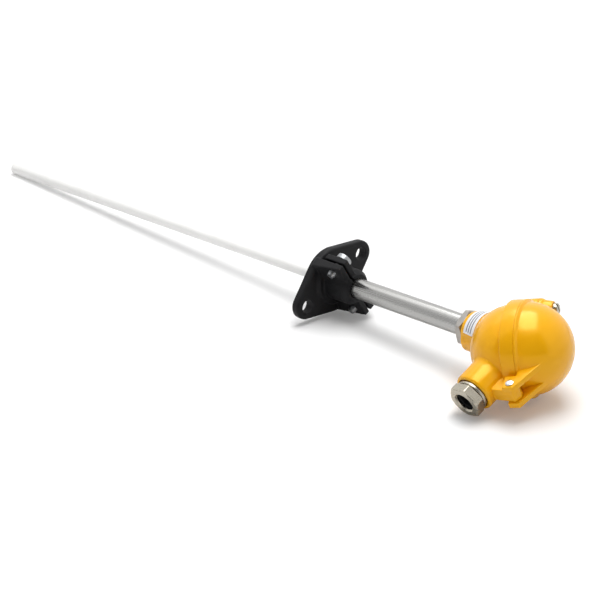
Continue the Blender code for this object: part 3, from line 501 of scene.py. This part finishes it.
def hubHalf(name, side, start, root):    # half hub and its two lugs on one side of the slot
    lug = stop["split"] / 2
    hub = spinProfile(name, [(start, 0), (start, stop["hubRadius"]),
                             (stop["hubFront"] - stop["hubTaper"], stop["hubRadius"]),
                             (stop["hubFront"], stop["hubTip"]), (stop["hubFront"], 0)], 96)
    end = stop["hubFront"] - stop["lugSetback"]
    bar = drawPlate(name + "Lugs", [(start, side * -lug), (end, side * -lug), (end, side * lugFace),
                                    (start, side * (lug + root))], -stop["lugReach"], stop["lugReach"])
    combine(hub, "UNION", bar)
    pickOnly()
    bpy.ops.mesh.primitive_cube_add(size=0.1, location=(0, 0, side * (lug + 0.05)))
    return combine(hub, "INTERSECT", settle(bpy.context.object, Matrix.Identity(4)))


def boltSpace(side):
    return clampSpace @ (Matrix.Translation((stop["boltX"], side * stop["boltOffset"], 0))
                         @ Matrix.Rotation(pi / 2, 4, "Y"))


def drillStop(piece):    # tube way and bolt holes
    tubeWay = probe["tubeRadius"] + gap
    combine(piece, "DIFFERENCE", settle(
        roundTool("tubeWay", -overrun, stop["hubFront"] + overrun, tubeWay, 96), probeSpace))
    for side in (1, -1):
        boltWay = roundTool("boltWay", -3 * lugFace, 3 * lugFace, stop["boltRadius"] + gap)
        combine(piece, "DIFFERENCE", settle(boltWay, boltSpace(side)))


def makePlate():
    lobes = []
    for radius, z in ((stop["midRadius"], 0), (stop["lobeRadius"], 1), (stop["lobeRadius"], -1)):
        pickOnly()
        bpy.ops.mesh.primitive_cylinder_add(vertices=128, radius=radius, depth=stop["plate"])
        settle(bpy.context.object, Matrix.Translation((stop["plate"] / 2, 0, z * stop["holeSpacing"] / 2))
               @ Matrix.Rotation(pi / 2, 4, "Y"))
        lobes.append(bpy.context.object)
    pickOnly(lobes[0])
    for lobe in lobes:
        lobe.select_set(True)
    bpy.ops.object.join()
    plate = bpy.context.object
    plate.name = "stopFlange"
    bpy.ops.object.mode_set(mode="EDIT")
    bpy.ops.mesh.select_all(action="SELECT")
    bpy.ops.mesh.convex_hull()
    bpy.ops.mesh.select_all(action="SELECT")
    bpy.ops.mesh.dissolve_limited(angle_limit=radians(0.5))
    bpy.ops.object.mode_set(mode="OBJECT")
    bevelEdges(plate, stop["plateEdge"], 6, 50)
    return plate


flange = makePlate()
pad = spinProfile("pad", softCorners([
    (stop["plate"] / 2, 0), (stop["plate"] / 2, stop["padRadius"] + stop["padFlare"]),
    (stop["plate"] - gap, stop["padRadius"] + stop["padFlare"]),
    (stop["plate"] + stop["padFlare"], stop["padRadius"], stop["padFlare"] / 2),
    (padTop, stop["padRadius"], 0.0006), (padTop, 0)]), 96)
combine(flange, "UNION", pad)
settle(flange, probeSpace)
combine(flange, "UNION", settle(hubHalf("castHub", -1, stop["plate"] / 2, stop["lugRoot"]), clampSpace))
castSkin(flange, 0.0005, 4, 0.45)
for side in (1, -1):    # countersunk by a cast edge
    z = side * stop["holeSpacing"] / 2
    rim = stop["holeEdge"]
    hole = spinProfile("mountHole", [
        (-overrun, 0), (-overrun, stop["holeRadius"] + rim + overrun), (rim, stop["holeRadius"]),
        (stop["plate"] - rim, stop["holeRadius"]),
        (stop["plate"] + overrun, stop["holeRadius"] + rim + overrun), (stop["plate"] + overrun, 0)], 64)
    combine(flange, "DIFFERENCE", settle(hole, probeSpace @ Matrix.Translation((0, 0, z))))
drillStop(flange)
finishPiece(flange, "flange", "flange", blackCasting)

clampHalf = settle(hubHalf("clampHalf", 1, padTop + stop["standoff"], stop["lug"]), clampSpace)
castSkin(clampHalf, 0.0004, 7, 0.5)
drillStop(clampHalf)
finishPiece(clampHalf, "clamp_half", "clamp_half", blackCasting)


def threadProfile(start, end, radius, pitch, depth):    # ridged outline of a thread
    points = []
    turns = int((end - start) / pitch)
    for i in range(turns):
        points += [(start + pitch * i, radius - depth), (start + pitch * (i + 0.5), radius)]
    return points + [(start + pitch * turns, radius - depth)]


for side, word in ((-1, "Upper"), (1, "Lower")):
    headStart = -lugFace - gap
    headEnd = headStart - stop["boltHead"]
    tip = lugFace + stop["boltEnd"]
    profile = softCorners([
        (headEnd, 0), (headEnd, stop["boltHeadRadius"], stop["boltEdge"]),
        (headStart, stop["boltHeadRadius"], 0.0003), (headStart, stop["boltRadius"]),
        (lugFace - overrun, stop["boltRadius"])])
    profile += threadProfile(lugFace - overrun, tip - stop["boltLead"], stop["boltRadius"], stop["thread"],
                             stop["threadDepth"])
    bolt = spinProfile("clampBolt" + word, profile + [(tip, stop["boltRadius"] * 0.76), (tip, 0)], 64)
    pickOnly()
    bpy.ops.mesh.primitive_cylinder_add(vertices=6, radius=stop["socket"] / sqrt(3),
                                        depth=2 * stop["socketDepth"])
    combine(bolt, "DIFFERENCE", settle(bpy.context.object, Matrix.Translation((headEnd, 0, 0))
                                       @ Matrix.Rotation(pi / 2, 4, "Y")))
    node = "clamp_bolt_" + word.lower()
    finishPiece(settle(bolt, boltSpace(side)), node, node, shadeDarkenedBoltSteel, 24)
print("flange done")

# Head body, neck label, gasket
head = {
    "band": 0.0330, "bandDepth": 0.0100, "bowl": 0.0300, "bowlDepth": 0.0100, "wall": 0.0030,
    "neckX": 0.1420, "neckRadius": 0.0124, "neckRoot": 0.0151, "neckLength": 0.0150, "neckEdge": 0.0006,
    "bossRadius": 0.014, "bossReach": 0.049, "bossRound": 0.0016, "recess": 0.012, "recessDepth": 0.004,
    "thread": 0.010, "lugRadius": 0.008, "lugDepth": 0.013, "lugTaper": 0.009, "screwRadius": 0.0025,
    "screwPlay": 0.0006, "gasket": 0.0016, "gasketDepth": 0.0014, "pillar": 0.0037, "pillarSpacing": 0.026,
    "blockX": 0.1710, "pinRadius": 0.0018, "armOuter": 0.0096, "swell": 0.0110, "swellOffset": 0.0045,
    "swellTurn": radians(305), "swellRound": 0.0012, "swellEnd": 0.1798, "neckBoreEnd": 0.1693,
    "bossFlare": ((0.0290, 0.0160), (0.0300, 0.01525), (0.0312, 0.01455), (0.0328, 0.01410)),
    "bossPlain": 0.0345, "pillarHole": 0.0023, "pillarDrill": 0.0056,
}
knuckle = {"width": 0.0096, "top": 0.0024, "back": 0.0033, "inset": 0.0030, "depth": 0.0165, "lean": 0.0030,
           "edge": 0.0015, "slopeIn": 0.0042, "slopeDown": 0.0036, "soft": 0.0005}
cavity = head["bowl"] - head["wall"]
bossFloor = head["bossReach"] - head["recessDepth"]
bodyProfile = arcPoints(-head["bowlDepth"], head["bowl"], pi, pi / 2, 40)
bodyProfile += softCorners([
    (-head["bandDepth"] + gap, head["bowl"]), (-head["bandDepth"] + gap, head["band"], 0.0007),
    (0, head["band"], 0.0003), (0, 0)])[1:]
headBody = settle(spinProfile("headBody", bodyProfile, 128), headSpace)
neck = spinProfile("neck", softCorners([
    (head["neckX"], 0), (head["neckX"], head["neckRadius"], head["neckEdge"]),
    (head["neckX"] + head["neckLength"], head["neckRoot"]),
    (lay["rimX"] - head["bowlDepth"], head["neckRoot"]), (lay["rimX"] - head["bowlDepth"], 0)]), 96)
swell = spinProfile("neckSwell", softCorners([
    (head["neckX"] + gap, 0), (head["neckX"] + gap, head["swell"], head["swellRound"]),
    (head["swellEnd"], head["swell"]), (head["swellEnd"], 0)]), 96)
swellPlace = Matrix.Translation((0, head["swellOffset"] * cos(head["swellTurn"]),
                                 head["swellOffset"] * sin(head["swellTurn"])))
boss = spinProfile("boss", softCorners([
    (head["bowl"] / 2, 0), (head["bowl"] / 2, head["bossFlare"][0][1]), *head["bossFlare"],
    (head["bossPlain"], head["bossRadius"]), (head["bossReach"], head["bossRadius"], head["bossRound"]),
    (head["bossReach"], 0)]), 96)
lugFoot = -head["lugDepth"] - head["lugTaper"]
screwLug = spinProfile("screwLug", softCorners([
    (lugFoot, 0), (lugFoot, head["lugRadius"] * 0.35),
    (-head["lugDepth"], head["lugRadius"], 0.002), (-gap / 4, head["lugRadius"], 0.0005), (-gap / 4, 0)]), 64)
knuckleLow = head["bowl"] - head["wall"] / 2
knuckleOuter = lay["pinReach"] + knuckle["back"]
knuckleInner = head["band"] + knuckle["inset"]
knuckleGap = -lay["pinDrop"] + gap * 4
knuckleBlock = drawPlate("knuckle", [
    (-knuckle["depth"], -knuckleLow), (knuckleGap, -knuckleLow), (knuckleGap, -knuckleInner),
    (knuckle["top"] - knuckle["edge"], -knuckleInner), (knuckle["top"], -knuckleInner - knuckle["edge"]),
    (knuckle["top"], -knuckleOuter + knuckle["slopeIn"]),
    (knuckle["top"] - knuckle["slopeDown"], -knuckleOuter),
    (-knuckle["depth"], -knuckleOuter + knuckle["lean"])], -knuckle["width"] / 2, knuckle["width"] / 2)
bevelEdges(knuckleBlock, knuckle["soft"], 3, 20)
combine(headBody, "UNION", settle(neck, probeSpace), settle(swell, probeSpace @ swellPlace),
        settle(boss, glandSpace), settle(screwLug, lidScrewSpace), settle(knuckleBlock, headSpace))

rabbet = cavity + head["gasket"] + 2 * gap
rabbetFloor = -head["gasketDepth"] - gap
chamber = spinProfile("chamber", arcPoints(-head["bowlDepth"], cavity, pi, pi / 2, 24)
                      + [(rabbetFloor, cavity), (rabbetFloor, rabbet), (overrun, rabbet), (overrun, 0)], 96)
combine(headBody, "DIFFERENCE", settle(chamber, headSpace))
for side in (1, -1):    # pillars that carry the terminal block
    z = side * head["pillarSpacing"] / 2
    pillarTop = head["blockX"] - gap
    drillFloor = pillarTop - head["pillarDrill"]
    pillar = settle(spinProfile("pillar", softCorners([
        (head["neckX"], 0), (head["neckX"], head["pillar"]), (pillarTop, head["pillar"], 0.0004),
        (pillarTop, head["pillarHole"]), (drillFloor, head["pillarHole"]), (drillFloor, 0)]), 48),
        probeSpace @ Matrix.Translation((0, 0, z)))
    coreProfile = arcPoints(-head["bowlDepth"], cavity + head["wall"] / 2, pi, 0, 40)
    core = settle(spinProfile("core", coreProfile, 64), headSpace)
    combine(headBody, "UNION", combine(pillar, "INTERSECT", core))
bossEnd = head["bossReach"] + overrun
pinWay = head["armOuter"] + overrun
combine(
    headBody, "DIFFERENCE",
    settle(roundTool("neckBore", head["neckX"] - overrun, head["neckBoreEnd"], probe["tubeRadius"] + gap, 96),
           probeSpace),
    settle(spinProfile("bossBore", [
        (cavity / 2, 0), (cavity / 2, head["thread"] + gap), (bossFloor, head["thread"] + gap),
        (bossFloor, head["recess"]), (bossEnd, head["recess"]), (bossEnd, 0)], 96), glandSpace),
    settle(roundTool("lugHole", -head["lugDepth"] + head["wall"] / 2, overrun,
                     head["screwRadius"] + head["screwPlay"]), lidScrewSpace),
    settle(roundTool("pinHole", -pinWay, pinWay, head["pinRadius"] + gap), pinSpace))
finishPiece(headBody, "probe", "head_body", yellowPaint, 28)

label = {"offset": 0.0034, "length": 0.0100, "from": radians(110), "span": radians(126), "thick": 0.0002,
         "steps": 48}
flare = (head["neckRoot"] - head["neckRadius"]) / head["neckLength"]
labelEnds = [(head["neckX"] + t, 0.0, head["neckRadius"] + t * flare + gap)
             for t in (label["offset"], label["offset"] + label["length"])]
neckLabel = drawChain("neckLabel", labelEnds)
bpy.ops.mesh.spin(steps=label["steps"], angle=label["span"], center=(0, 0, 0), axis=(1, 0, 0))
bpy.ops.mesh.select_all(action="SELECT")
bpy.ops.mesh.remove_doubles(threshold=2e-6)
bpy.ops.mesh.normals_make_consistent(inside=False)
bpy.ops.object.mode_set(mode="OBJECT")
change = neckLabel.modifiers.new("film", "SOLIDIFY")
change.thickness = label["thick"]
change.offset = 0.0
applyChange(neckLabel, change)
labelTurn = Matrix.Rotation(label["from"] + label["span"] - pi / 2, 4, "X")
finishPiece(settle(neckLabel, probeSpace @ labelTurn), "probe", "neck_label", labelFilm)

gasketIn = cavity + gap
gasketOut = gasketIn + head["gasket"]
gasket = spinProfile("lidGasket", softCorners([
    (-head["gasketDepth"], gasketIn, 0.0003), (0, gasketIn, 0.0003), (0, gasketOut, 0.0003),
    (-head["gasketDepth"], gasketOut, 0.0003)], 3), 128, ring=True)
finishPiece(settle(gasket, headSpace), "probe", "lid_gasket", blackRubber)
print("head body done")

# Lid with its arms, hinge pin and screw
lid = {
    "dome": 0.0313, "seam": 0.00015, "drop": 0.0016, "wall": 0.0028, "lip": 0.0008, "slope": 0.0014,
    "armInner": 0.0051, "armOuter": 0.0096, "swing": 0.0074, "rise": 0.0170, "clear": 0.0010,
    "armSoft": 0.0007, "screwHead": 0.00425, "screwHeadHeight": 0.0028, "screwSlot": 0.0012,
    "screwGrip": 0.005, "lugHeight": 0.0022, "lugEdge": 0.0012, "bossRadius": 0.0055, "bossHeight": 0.0094,
    "pinHead": 0.0027, "pinHeadHeight": 0.0007,
}
lipTop = gap + lid["lip"] + lid["slope"]
domeFoot = acos((lipTop + lid["drop"]) / lid["dome"])
lidProfile = softCorners([
    (lid["seam"], 0), (lid["seam"], head["band"], 0.0002), (gap + lid["lip"], head["band"], 0.0003),
    (lipTop, lid["dome"] * sin(domeFoot))])[:-1]
lidProfile += arcPoints(-lid["drop"], lid["dome"], domeFoot, 0, 48)
lidShell = settle(spinProfile("headLid", lidProfile, 128), headSpace)
lidBoss = spinProfile("lidBoss", softCorners([
    (lid["seam"] * 2, 0), (lid["seam"] * 2, head["lugRadius"], 0.0002),
    (lid["lugHeight"], head["lugRadius"] - gap, 0.003),
    (lid["lugHeight"] + lid["lugEdge"], lid["bossRadius"] + lid["lugEdge"], 0.003),
    (lid["bossHeight"], lid["bossRadius"], 0.0006), (lid["bossHeight"], 0)]), 64)
armEdge = lid["swing"] * 0.78
armOutline = [
    (lid["rise"], -sqrt(lid["dome"] ** 2 - lid["rise"] ** 2) * 0.86),
    (-lay["pinDrop"] + armEdge * 0.5, -lay["pinReach"] - armEdge * 0.74),
    (-lay["pinDrop"] - armEdge * 0.8, -lay["pinReach"] - armEdge * 0.70),
    (-lay["pinDrop"] - armEdge * 0.8, -lay["pinReach"] + lid["swing"] - lid["clear"]),
    (gap * 2, -lay["pinReach"] + lid["swing"] - gap * 2), (gap + lid["lip"] / 2, -head["band"] * 0.8),
    (lid["rise"] * 0.7, -lid["dome"] * 0.7)]
arms = []
for low, high in ((-lid["armOuter"], -lid["armInner"]), (lid["armInner"], lid["armOuter"])):
    arms.append(settle(bevelEdges(drawPlate("arm", armOutline, low, high), lid["armSoft"], 3, 20), headSpace))
combine(lidShell, "UNION", settle(lidBoss, lidScrewSpace), *arms)
hollow = lid["dome"] - lid["wall"]
hollowProfile = [(-overrun, 0), (-overrun, hollow)] + arcPoints(-lid["drop"], hollow, pi / 2, 0, 24)
armWay = lid["armOuter"] + overrun
combine(
    lidShell, "DIFFERENCE",
    settle(spinProfile("lidHollow", hollowProfile, 96), headSpace),
    settle(roundTool("screwHole", gap - overrun, lid["bossHeight"] + overrun, head["screwRadius"] + gap),
           lidScrewSpace),
    settle(roundTool("armHole", -armWay, armWay, head["pinRadius"] + gap), pinSpace))
finishPiece(lidShell, "lid", "lid", yellowPaint, 28)

pinEnd = lid["armOuter"] + gap
pinHalf = [(pinEnd, head["pinRadius"]), (pinEnd, lid["pinHead"]),
           (pinEnd + lid["pinHeadHeight"] * 0.4, lid["pinHead"]),
           (pinEnd + lid["pinHeadHeight"] * 0.8, lid["pinHead"] * 0.82),
           (pinEnd + lid["pinHeadHeight"], lid["pinHead"] * 0.5), (pinEnd + lid["pinHeadHeight"], 0)]
pin = spinProfile("hingePin", [(-x, r) for x, r in reversed(pinHalf)] + pinHalf, 64)
finishPiece(settle(pin, pinSpace), "probe", "hinge_pin", zincPlate)


def slottedScrew(name, seat, grip, radius, headRadius, headHeight, slot, space):
    foot = seat + gap
    screw = spinProfile(name, softCorners([
        (seat - grip, 0), (seat - grip, radius, radius * 0.3), (foot, radius), (foot, headRadius, 0.0002),
        (foot + headHeight, headRadius * 0.9, headHeight * 0.3), (foot + headHeight, 0)]), 48)
    pickOnly()
    bpy.ops.mesh.primitive_cube_add(size=1)
    cut = bpy.context.object
    deep = headHeight * 0.45
    cut.scale = (deep + overrun, 3 * headRadius, slot)
    cut.location = (foot + headHeight - deep + (deep + overrun) / 2, 0, 0)
    settle(cut, Matrix.Identity(4))
    combine(screw, "DIFFERENCE", cut)
    return settle(screw, space)


lidScrew = slottedScrew("lidScrew", lid["bossHeight"], lid["bossHeight"] + lid["screwGrip"],
                        head["screwRadius"], lid["screwHead"], lid["screwHeadHeight"],
                        lid["screwSlot"], lidScrewSpace)
finishPiece(lidScrew, "lid_screw", "lid_screw", nickelPlate)
print("lid done")

# Cable gland
gland = {
    "thread": 0.010, "inside": 0.011, "collar": 0.0114, "collarLength": 0.0044, "ring": 0.0012,
    "front": 0.0092, "bore": 0.0075, "nutHex": 0.022, "nutLength": 0.0072, "nutBore": 0.0065,
    "nutEdge": 0.0005, "lip": 0.0020, "turn": radians(43), "sealBore": 0.0050, "sealLength": 0.0090,
    "pitch": 0.0015, "threadDepth": 0.0006, "frontPitch": 0.001, "frontDepth": 0.0004,
}
collarX = bossFloor + gland["ring"] + 2 * gap
collarEnd = collarX + gland["collarLength"]
nutX = collarEnd + gap
nutEnd = nutX + gland["nutLength"]
nutFloor = nutEnd - gland["lip"]
threadEnd = bossFloor - gland["inside"]
frontEnd = nutFloor - gap
ringX = bossFloor + gap
ringEnd = ringX + gland["ring"]
ringIn = gland["thread"] + gap
ring = spinProfile("glandRing", softCorners([
    (ringX, gland["collar"], 0.0004), (ringEnd, gland["collar"], 0.0004), (ringEnd, ringIn),
    (ringX, ringIn)], 4), 96, ring=True)
finishPiece(settle(ring, glandSpace), "probe", "gland_ring", blackRubber)
threadRoot = gland["thread"] - gland["threadDepth"]
frontRoot = gland["front"] - gland["frontDepth"]
bodyThread = threadProfile(threadEnd, collarX - gland["threadDepth"], gland["thread"], gland["pitch"],
                           gland["threadDepth"])
frontThread = threadProfile(collarEnd + gland["frontDepth"], frontEnd, gland["front"], gland["frontPitch"],
                            gland["frontDepth"])
glandBody = spinProfile("glandBody", bodyThread + softCorners([
    (collarX, threadRoot), (collarX, gland["collar"], 0.0004), (collarEnd, gland["collar"], 0.0006),
    (collarEnd, frontRoot)]) + frontThread + [
    (frontEnd, frontRoot), (frontEnd, gland["bore"]), (threadEnd, gland["bore"])], 96, ring=True)
finishPiece(settle(glandBody, glandSpace), "probe", "gland_body", nickelPlate)
sealOut = gland["bore"] - gap
sealX = frontEnd - gland["sealLength"]
seal = spinProfile("glandSeal", softCorners([
    (sealX, sealOut, 0.0004), (frontEnd, sealOut, 0.0004), (frontEnd, gland["sealBore"], 0.0008),
    (sealX, gland["sealBore"], 0.0008)], 4), 96, ring=True)
finishPiece(settle(seal, glandSpace), "probe", "gland_seal", blackRubber)
nut = hexPrism("glandNut", gland["nutHex"], nutX, nutEnd, gland["turn"], gland["nutEdge"])
nutThread = gland["front"] + gap
combine(nut, "DIFFERENCE", spinProfile("nutCut", softCorners([
    (nutX - overrun, 0), (nutX - overrun, nutThread), (nutFloor, nutThread), (nutFloor, gland["nutBore"]),
    (nutEnd - gland["lip"] / 2, gland["nutBore"], 0.0006),
    (nutEnd + overrun, gland["nutBore"] + gland["lip"] / 2 + overrun), (nutEnd + overrun, 0)]), 96))
finishPiece(settle(nut, glandSpace), "gland_nut", "gland_nut", nickelPlate, 20)
print("gland done")

# Terminals inside the head
block = {
    "x": 0.1710, "top": 0.1800, "radius": 0.017, "edge": 0.001, "screwSpacing": 0.026, "screwHole": 0.0023,
    "wireHole": 0.0008, "postSpacing": 0.018, "postWidth": 0.0080, "postDepth": 0.0140, "postHeight": 0.0080,
    "postSoft": 0.0004, "entry": 0.0040, "clampSpacing": 0.0082, "clampRadius": 0.0015, "clampLength": 0.0050,
    "clampHead": 0.0028, "clampHeadHeight": 0.0020, "clampSlot": 0.00084, "screwLength": 0.014,
    "screwRadius": 0.002, "screwHead": 0.0034, "screwHeadHeight": 0.0024, "screwSlot": 0.0012,
}
postX = block["top"] + gap
postTop = postX + block["postHeight"]


def drill(piece, start, end, radius, y, z):
    combine(piece, "DIFFERENCE", settle(
        roundTool("drill", start, end, radius, 32), probeSpace @ Matrix.Translation((0, y, z))))


terminalBlock = settle(spinProfile("terminalBlock", softCorners([
    (block["x"], 0), (block["x"], block["radius"], 0.0004), (block["top"], block["radius"], block["edge"]),
    (block["top"], 0)]), 96), probeSpace)
for side, word in ((1, "upper"), (-1, "lower")):
    z = side * block["screwSpacing"] / 2
    drill(terminalBlock, block["x"] - overrun, block["top"] + overrun, block["screwHole"], 0, z)
    screw = slottedScrew("blockScrew_" + word, block["top"], block["screwLength"], block["screwRadius"],
                         block["screwHead"], block["screwHeadHeight"], block["screwSlot"],
                         probeSpace @ Matrix.Translation((0, 0, z)))
    finishPiece(screw, "probe", "block_screw_" + word, zincPlate)
for side, sign in ((1, "positive"), (-1, "negative")):
    y = side * block["postSpacing"] / 2
    drill(terminalBlock, block["x"] - overrun, block["top"] + overrun, block["wireHole"], y, 0)
    pickOnly()
    bpy.ops.mesh.primitive_cube_add(size=1)
    post = bpy.context.object
    post.name = "terminalPost_" + sign
    post.scale = (block["postHeight"], block["postWidth"], block["postDepth"])
    post.location = (postX + block["postHeight"] / 2, y, 0)
    settle(post, probeSpace)
    bevelEdges(post, block["postSoft"], 3)
    drill(post, postX - overrun, postX + block["entry"] + gap, block["wireHole"], y, 0)
    for place, step in (("upper", 1), ("lower", -1)):
        z = step * block["clampSpacing"] / 2
        drill(post, postTop - block["clampLength"] - gap, postTop + overrun, block["clampRadius"] + gap, y, z)
        node = "clamp_screw_%s_%s" % (sign, place)
        screw = slottedScrew("clampScrew_%s_%s" % (sign, place), postTop, block["clampLength"],
                             block["clampRadius"], block["clampHead"], block["clampHeadHeight"],
                             block["clampSlot"], probeSpace @ Matrix.Translation((0, y, z)))
        finishPiece(screw, node, node, zincPlate)
    finishPiece(post, "probe", "terminal_post_" + sign, plainBrass)
finishPiece(terminalBlock, "probe", "terminal_block", blockGlaze)

# Wires, bead and insulator keep their solids and get finishes.
for node, material in (("positive_wire", alloyWire), ("negative_wire", alloyWire),
                       ("hot_junction", alloyWire), ("twin_bore_insulator", innerCeramic)):
    cadNodes[node].data.materials.clear()
    cadNodes[node].data.materials.append(material)
print("terminals done")

# Floor, lights and camera
studio = {
    "floorNormal": Vector((0.0544, 0.0, 0.9985)).normalized(), "floorSize": 12.0, "softHeight": 1.1,
    "softSize": (0.72, 1.19), "softCentre": (0.05, 0.15), "softTurn": radians(-45), "softPower": 14.0,
    "ambient": 0.46, "floorTone": (0.80, 0.80, 0.80), "floorDrop": 0.0001,
    "glow": {"From Min": 0.2, "From Max": 0.9, "To Min": 0.13, "To Max": 0.66}, "cardX": 0.2,
    "cardRadius": 2.2, "cards": (
        ("darkCard", radians(-110), radians(112), 0.16, 3.4, 0.02),
        ("greyCard", radians(-165), radians(55), 0.16, 1.9, 0.70),
        ("brightCard", radians(145), radians(50), 1.95, 3.5, 1.8)),
}
lowest = min(studio["floorNormal"].dot(corner.co)
             for node in cadNodes.values() for corner in node.data.vertices)
pickOnly()
bpy.ops.mesh.primitive_plane_add(size=studio["floorSize"])
floor = bpy.context.object
floor.name = "floor"
leanFloor = Vector((0, 0, 1)).rotation_difference(studio["floorNormal"]).to_matrix().to_4x4()
settle(floor, Matrix.Translation(studio["floorNormal"] * (lowest - studio["floorDrop"])) @ leanFloor)
floorPaper = bpy.data.materials.new("floorPaper")
floorPaper.use_nodes = True
tree = floorPaper.node_tree
paper = tree.nodes["Principled BSDF"]
paper.inputs["Base Color"].default_value = (*studio["floorTone"], 1.0)
paper.inputs["Roughness"].default_value = 0.9
paper.inputs["Specular IOR Level"].default_value = 0.1
sight = tree.nodes.new("ShaderNodeLightPath")
spot = tree.nodes.new("ShaderNodeTexCoord")
away = tree.nodes.new("ShaderNodeVectorMath")
away.operation = "LENGTH"
tree.links.new(spot.outputs["Object"], away.inputs[0])
glow = tree.nodes.new("ShaderNodeMapRange")
for socket, value in studio["glow"].items():
    glow.inputs[socket].default_value = value
tree.links.new(away.outputs["Value"], glow.inputs["Value"])
seen = addMath(tree, "MULTIPLY", sight.outputs["Is Camera Ray"], glow.outputs["Result"])
paper.inputs["Emission Color"].default_value = (1, 1, 1, 1)
tree.links.new(seen, paper.inputs["Emission Strength"])
floor.data.materials.append(floorPaper)

for name, start, span, low, high, glow in studio["cards"]:    # glowing cards seen only in reflections: room tones in paint and steel
    pickOnly()
    bpy.ops.mesh.primitive_cylinder_add(vertices=144, radius=studio["cardRadius"], depth=high - low,
                                        end_fill_type="NOTHING",
                                        location=(studio["cardX"], 0, (high + low) / 2))
    card = bpy.context.object
    card.name = name
    bpy.ops.object.mode_set(mode="EDIT")
    bpy.ops.mesh.select_all(action="DESELECT")
    bpy.ops.object.mode_set(mode="OBJECT")
    for face in card.data.polygons:
        face.select = (atan2(face.center.y, face.center.x) - start) % (2 * pi) > span
    bpy.ops.object.mode_set(mode="EDIT")
    bpy.ops.mesh.select_mode(type="FACE")
    bpy.ops.mesh.delete(type="FACE")
    bpy.ops.object.mode_set(mode="OBJECT")
    settle(card, Matrix.Identity(4))
    cardGlow = bpy.data.materials.new(name)
    cardGlow.use_nodes = True
    shader = cardGlow.node_tree.nodes["Principled BSDF"]
    shader.inputs["Base Color"].default_value = (0, 0, 0, 1)
    shader.inputs["Specular IOR Level"].default_value = 0.0
    shader.inputs["Emission Color"].default_value = (1, 1, 1, 1)
    shader.inputs["Emission Strength"].default_value = glow
    card.data.materials.append(cardGlow)
    card.visible_camera = False
    card.visible_diffuse = False
    card.visible_shadow = False
    card.visible_transmission = False

softBox = bpy.data.lights.new("softBox", "AREA")
softBox.shape = "RECTANGLE"
softBox.size, softBox.size_y = studio["softSize"]
softBox.energy = studio["softPower"]
softLamp = bpy.data.objects.new("softBox", softBox)
bpy.context.scene.collection.objects.link(softLamp)
softLamp.location = (studio["softCentre"][0], studio["softCentre"][1], studio["softHeight"])
softLamp.rotation_euler = (0, 0, studio["softTurn"] + pi / 2)

world = bpy.data.worlds.new("studioWhite")
bpy.context.scene.world = world
world.use_nodes = True
tree = world.node_tree
back = tree.nodes["Background"]
sight = tree.nodes.new("ShaderNodeLightPath")
clearRay = addMath(tree, "MAXIMUM", sight.outputs["Is Camera Ray"], sight.outputs["Is Glossy Ray"])
level = addMath(tree, "ADD", addMath(tree, "MULTIPLY", clearRay, 1.0 - studio["ambient"]), studio["ambient"])
back.inputs["Color"].default_value = (1, 1, 1, 1)
tree.links.new(level, back.inputs["Strength"])

view = {"place": (0.9884, -0.9253, 0.5295), "up": (-0.2488, 0.2786, 0.9276),
        "ahead": (-0.689, 0.6222, -0.3717), "focalPixels": 2000.0, "framePixels": 590.0, "sensor": 36.0}
camera = bpy.data.cameras.new("camera")
camera.sensor_width = view["sensor"]
camera.lens = view["focalPixels"] / view["framePixels"] * view["sensor"]
camera.clip_start = 0.01
cameraStand = bpy.data.objects.new("camera", camera)
bpy.context.scene.collection.objects.link(cameraStand)
back = -Vector(view["ahead"]).normalized()
across = Vector(view["up"]).cross(back).normalized()
upward = back.cross(across)
turned = Matrix((across, upward, back)).transposed().to_4x4()
cameraStand.matrix_world = Matrix.Translation(view["place"]) @ turned
bpy.context.scene.camera = cameraStand
bpy.context.scene.view_settings.view_transform = "Standard"
print("studio done")
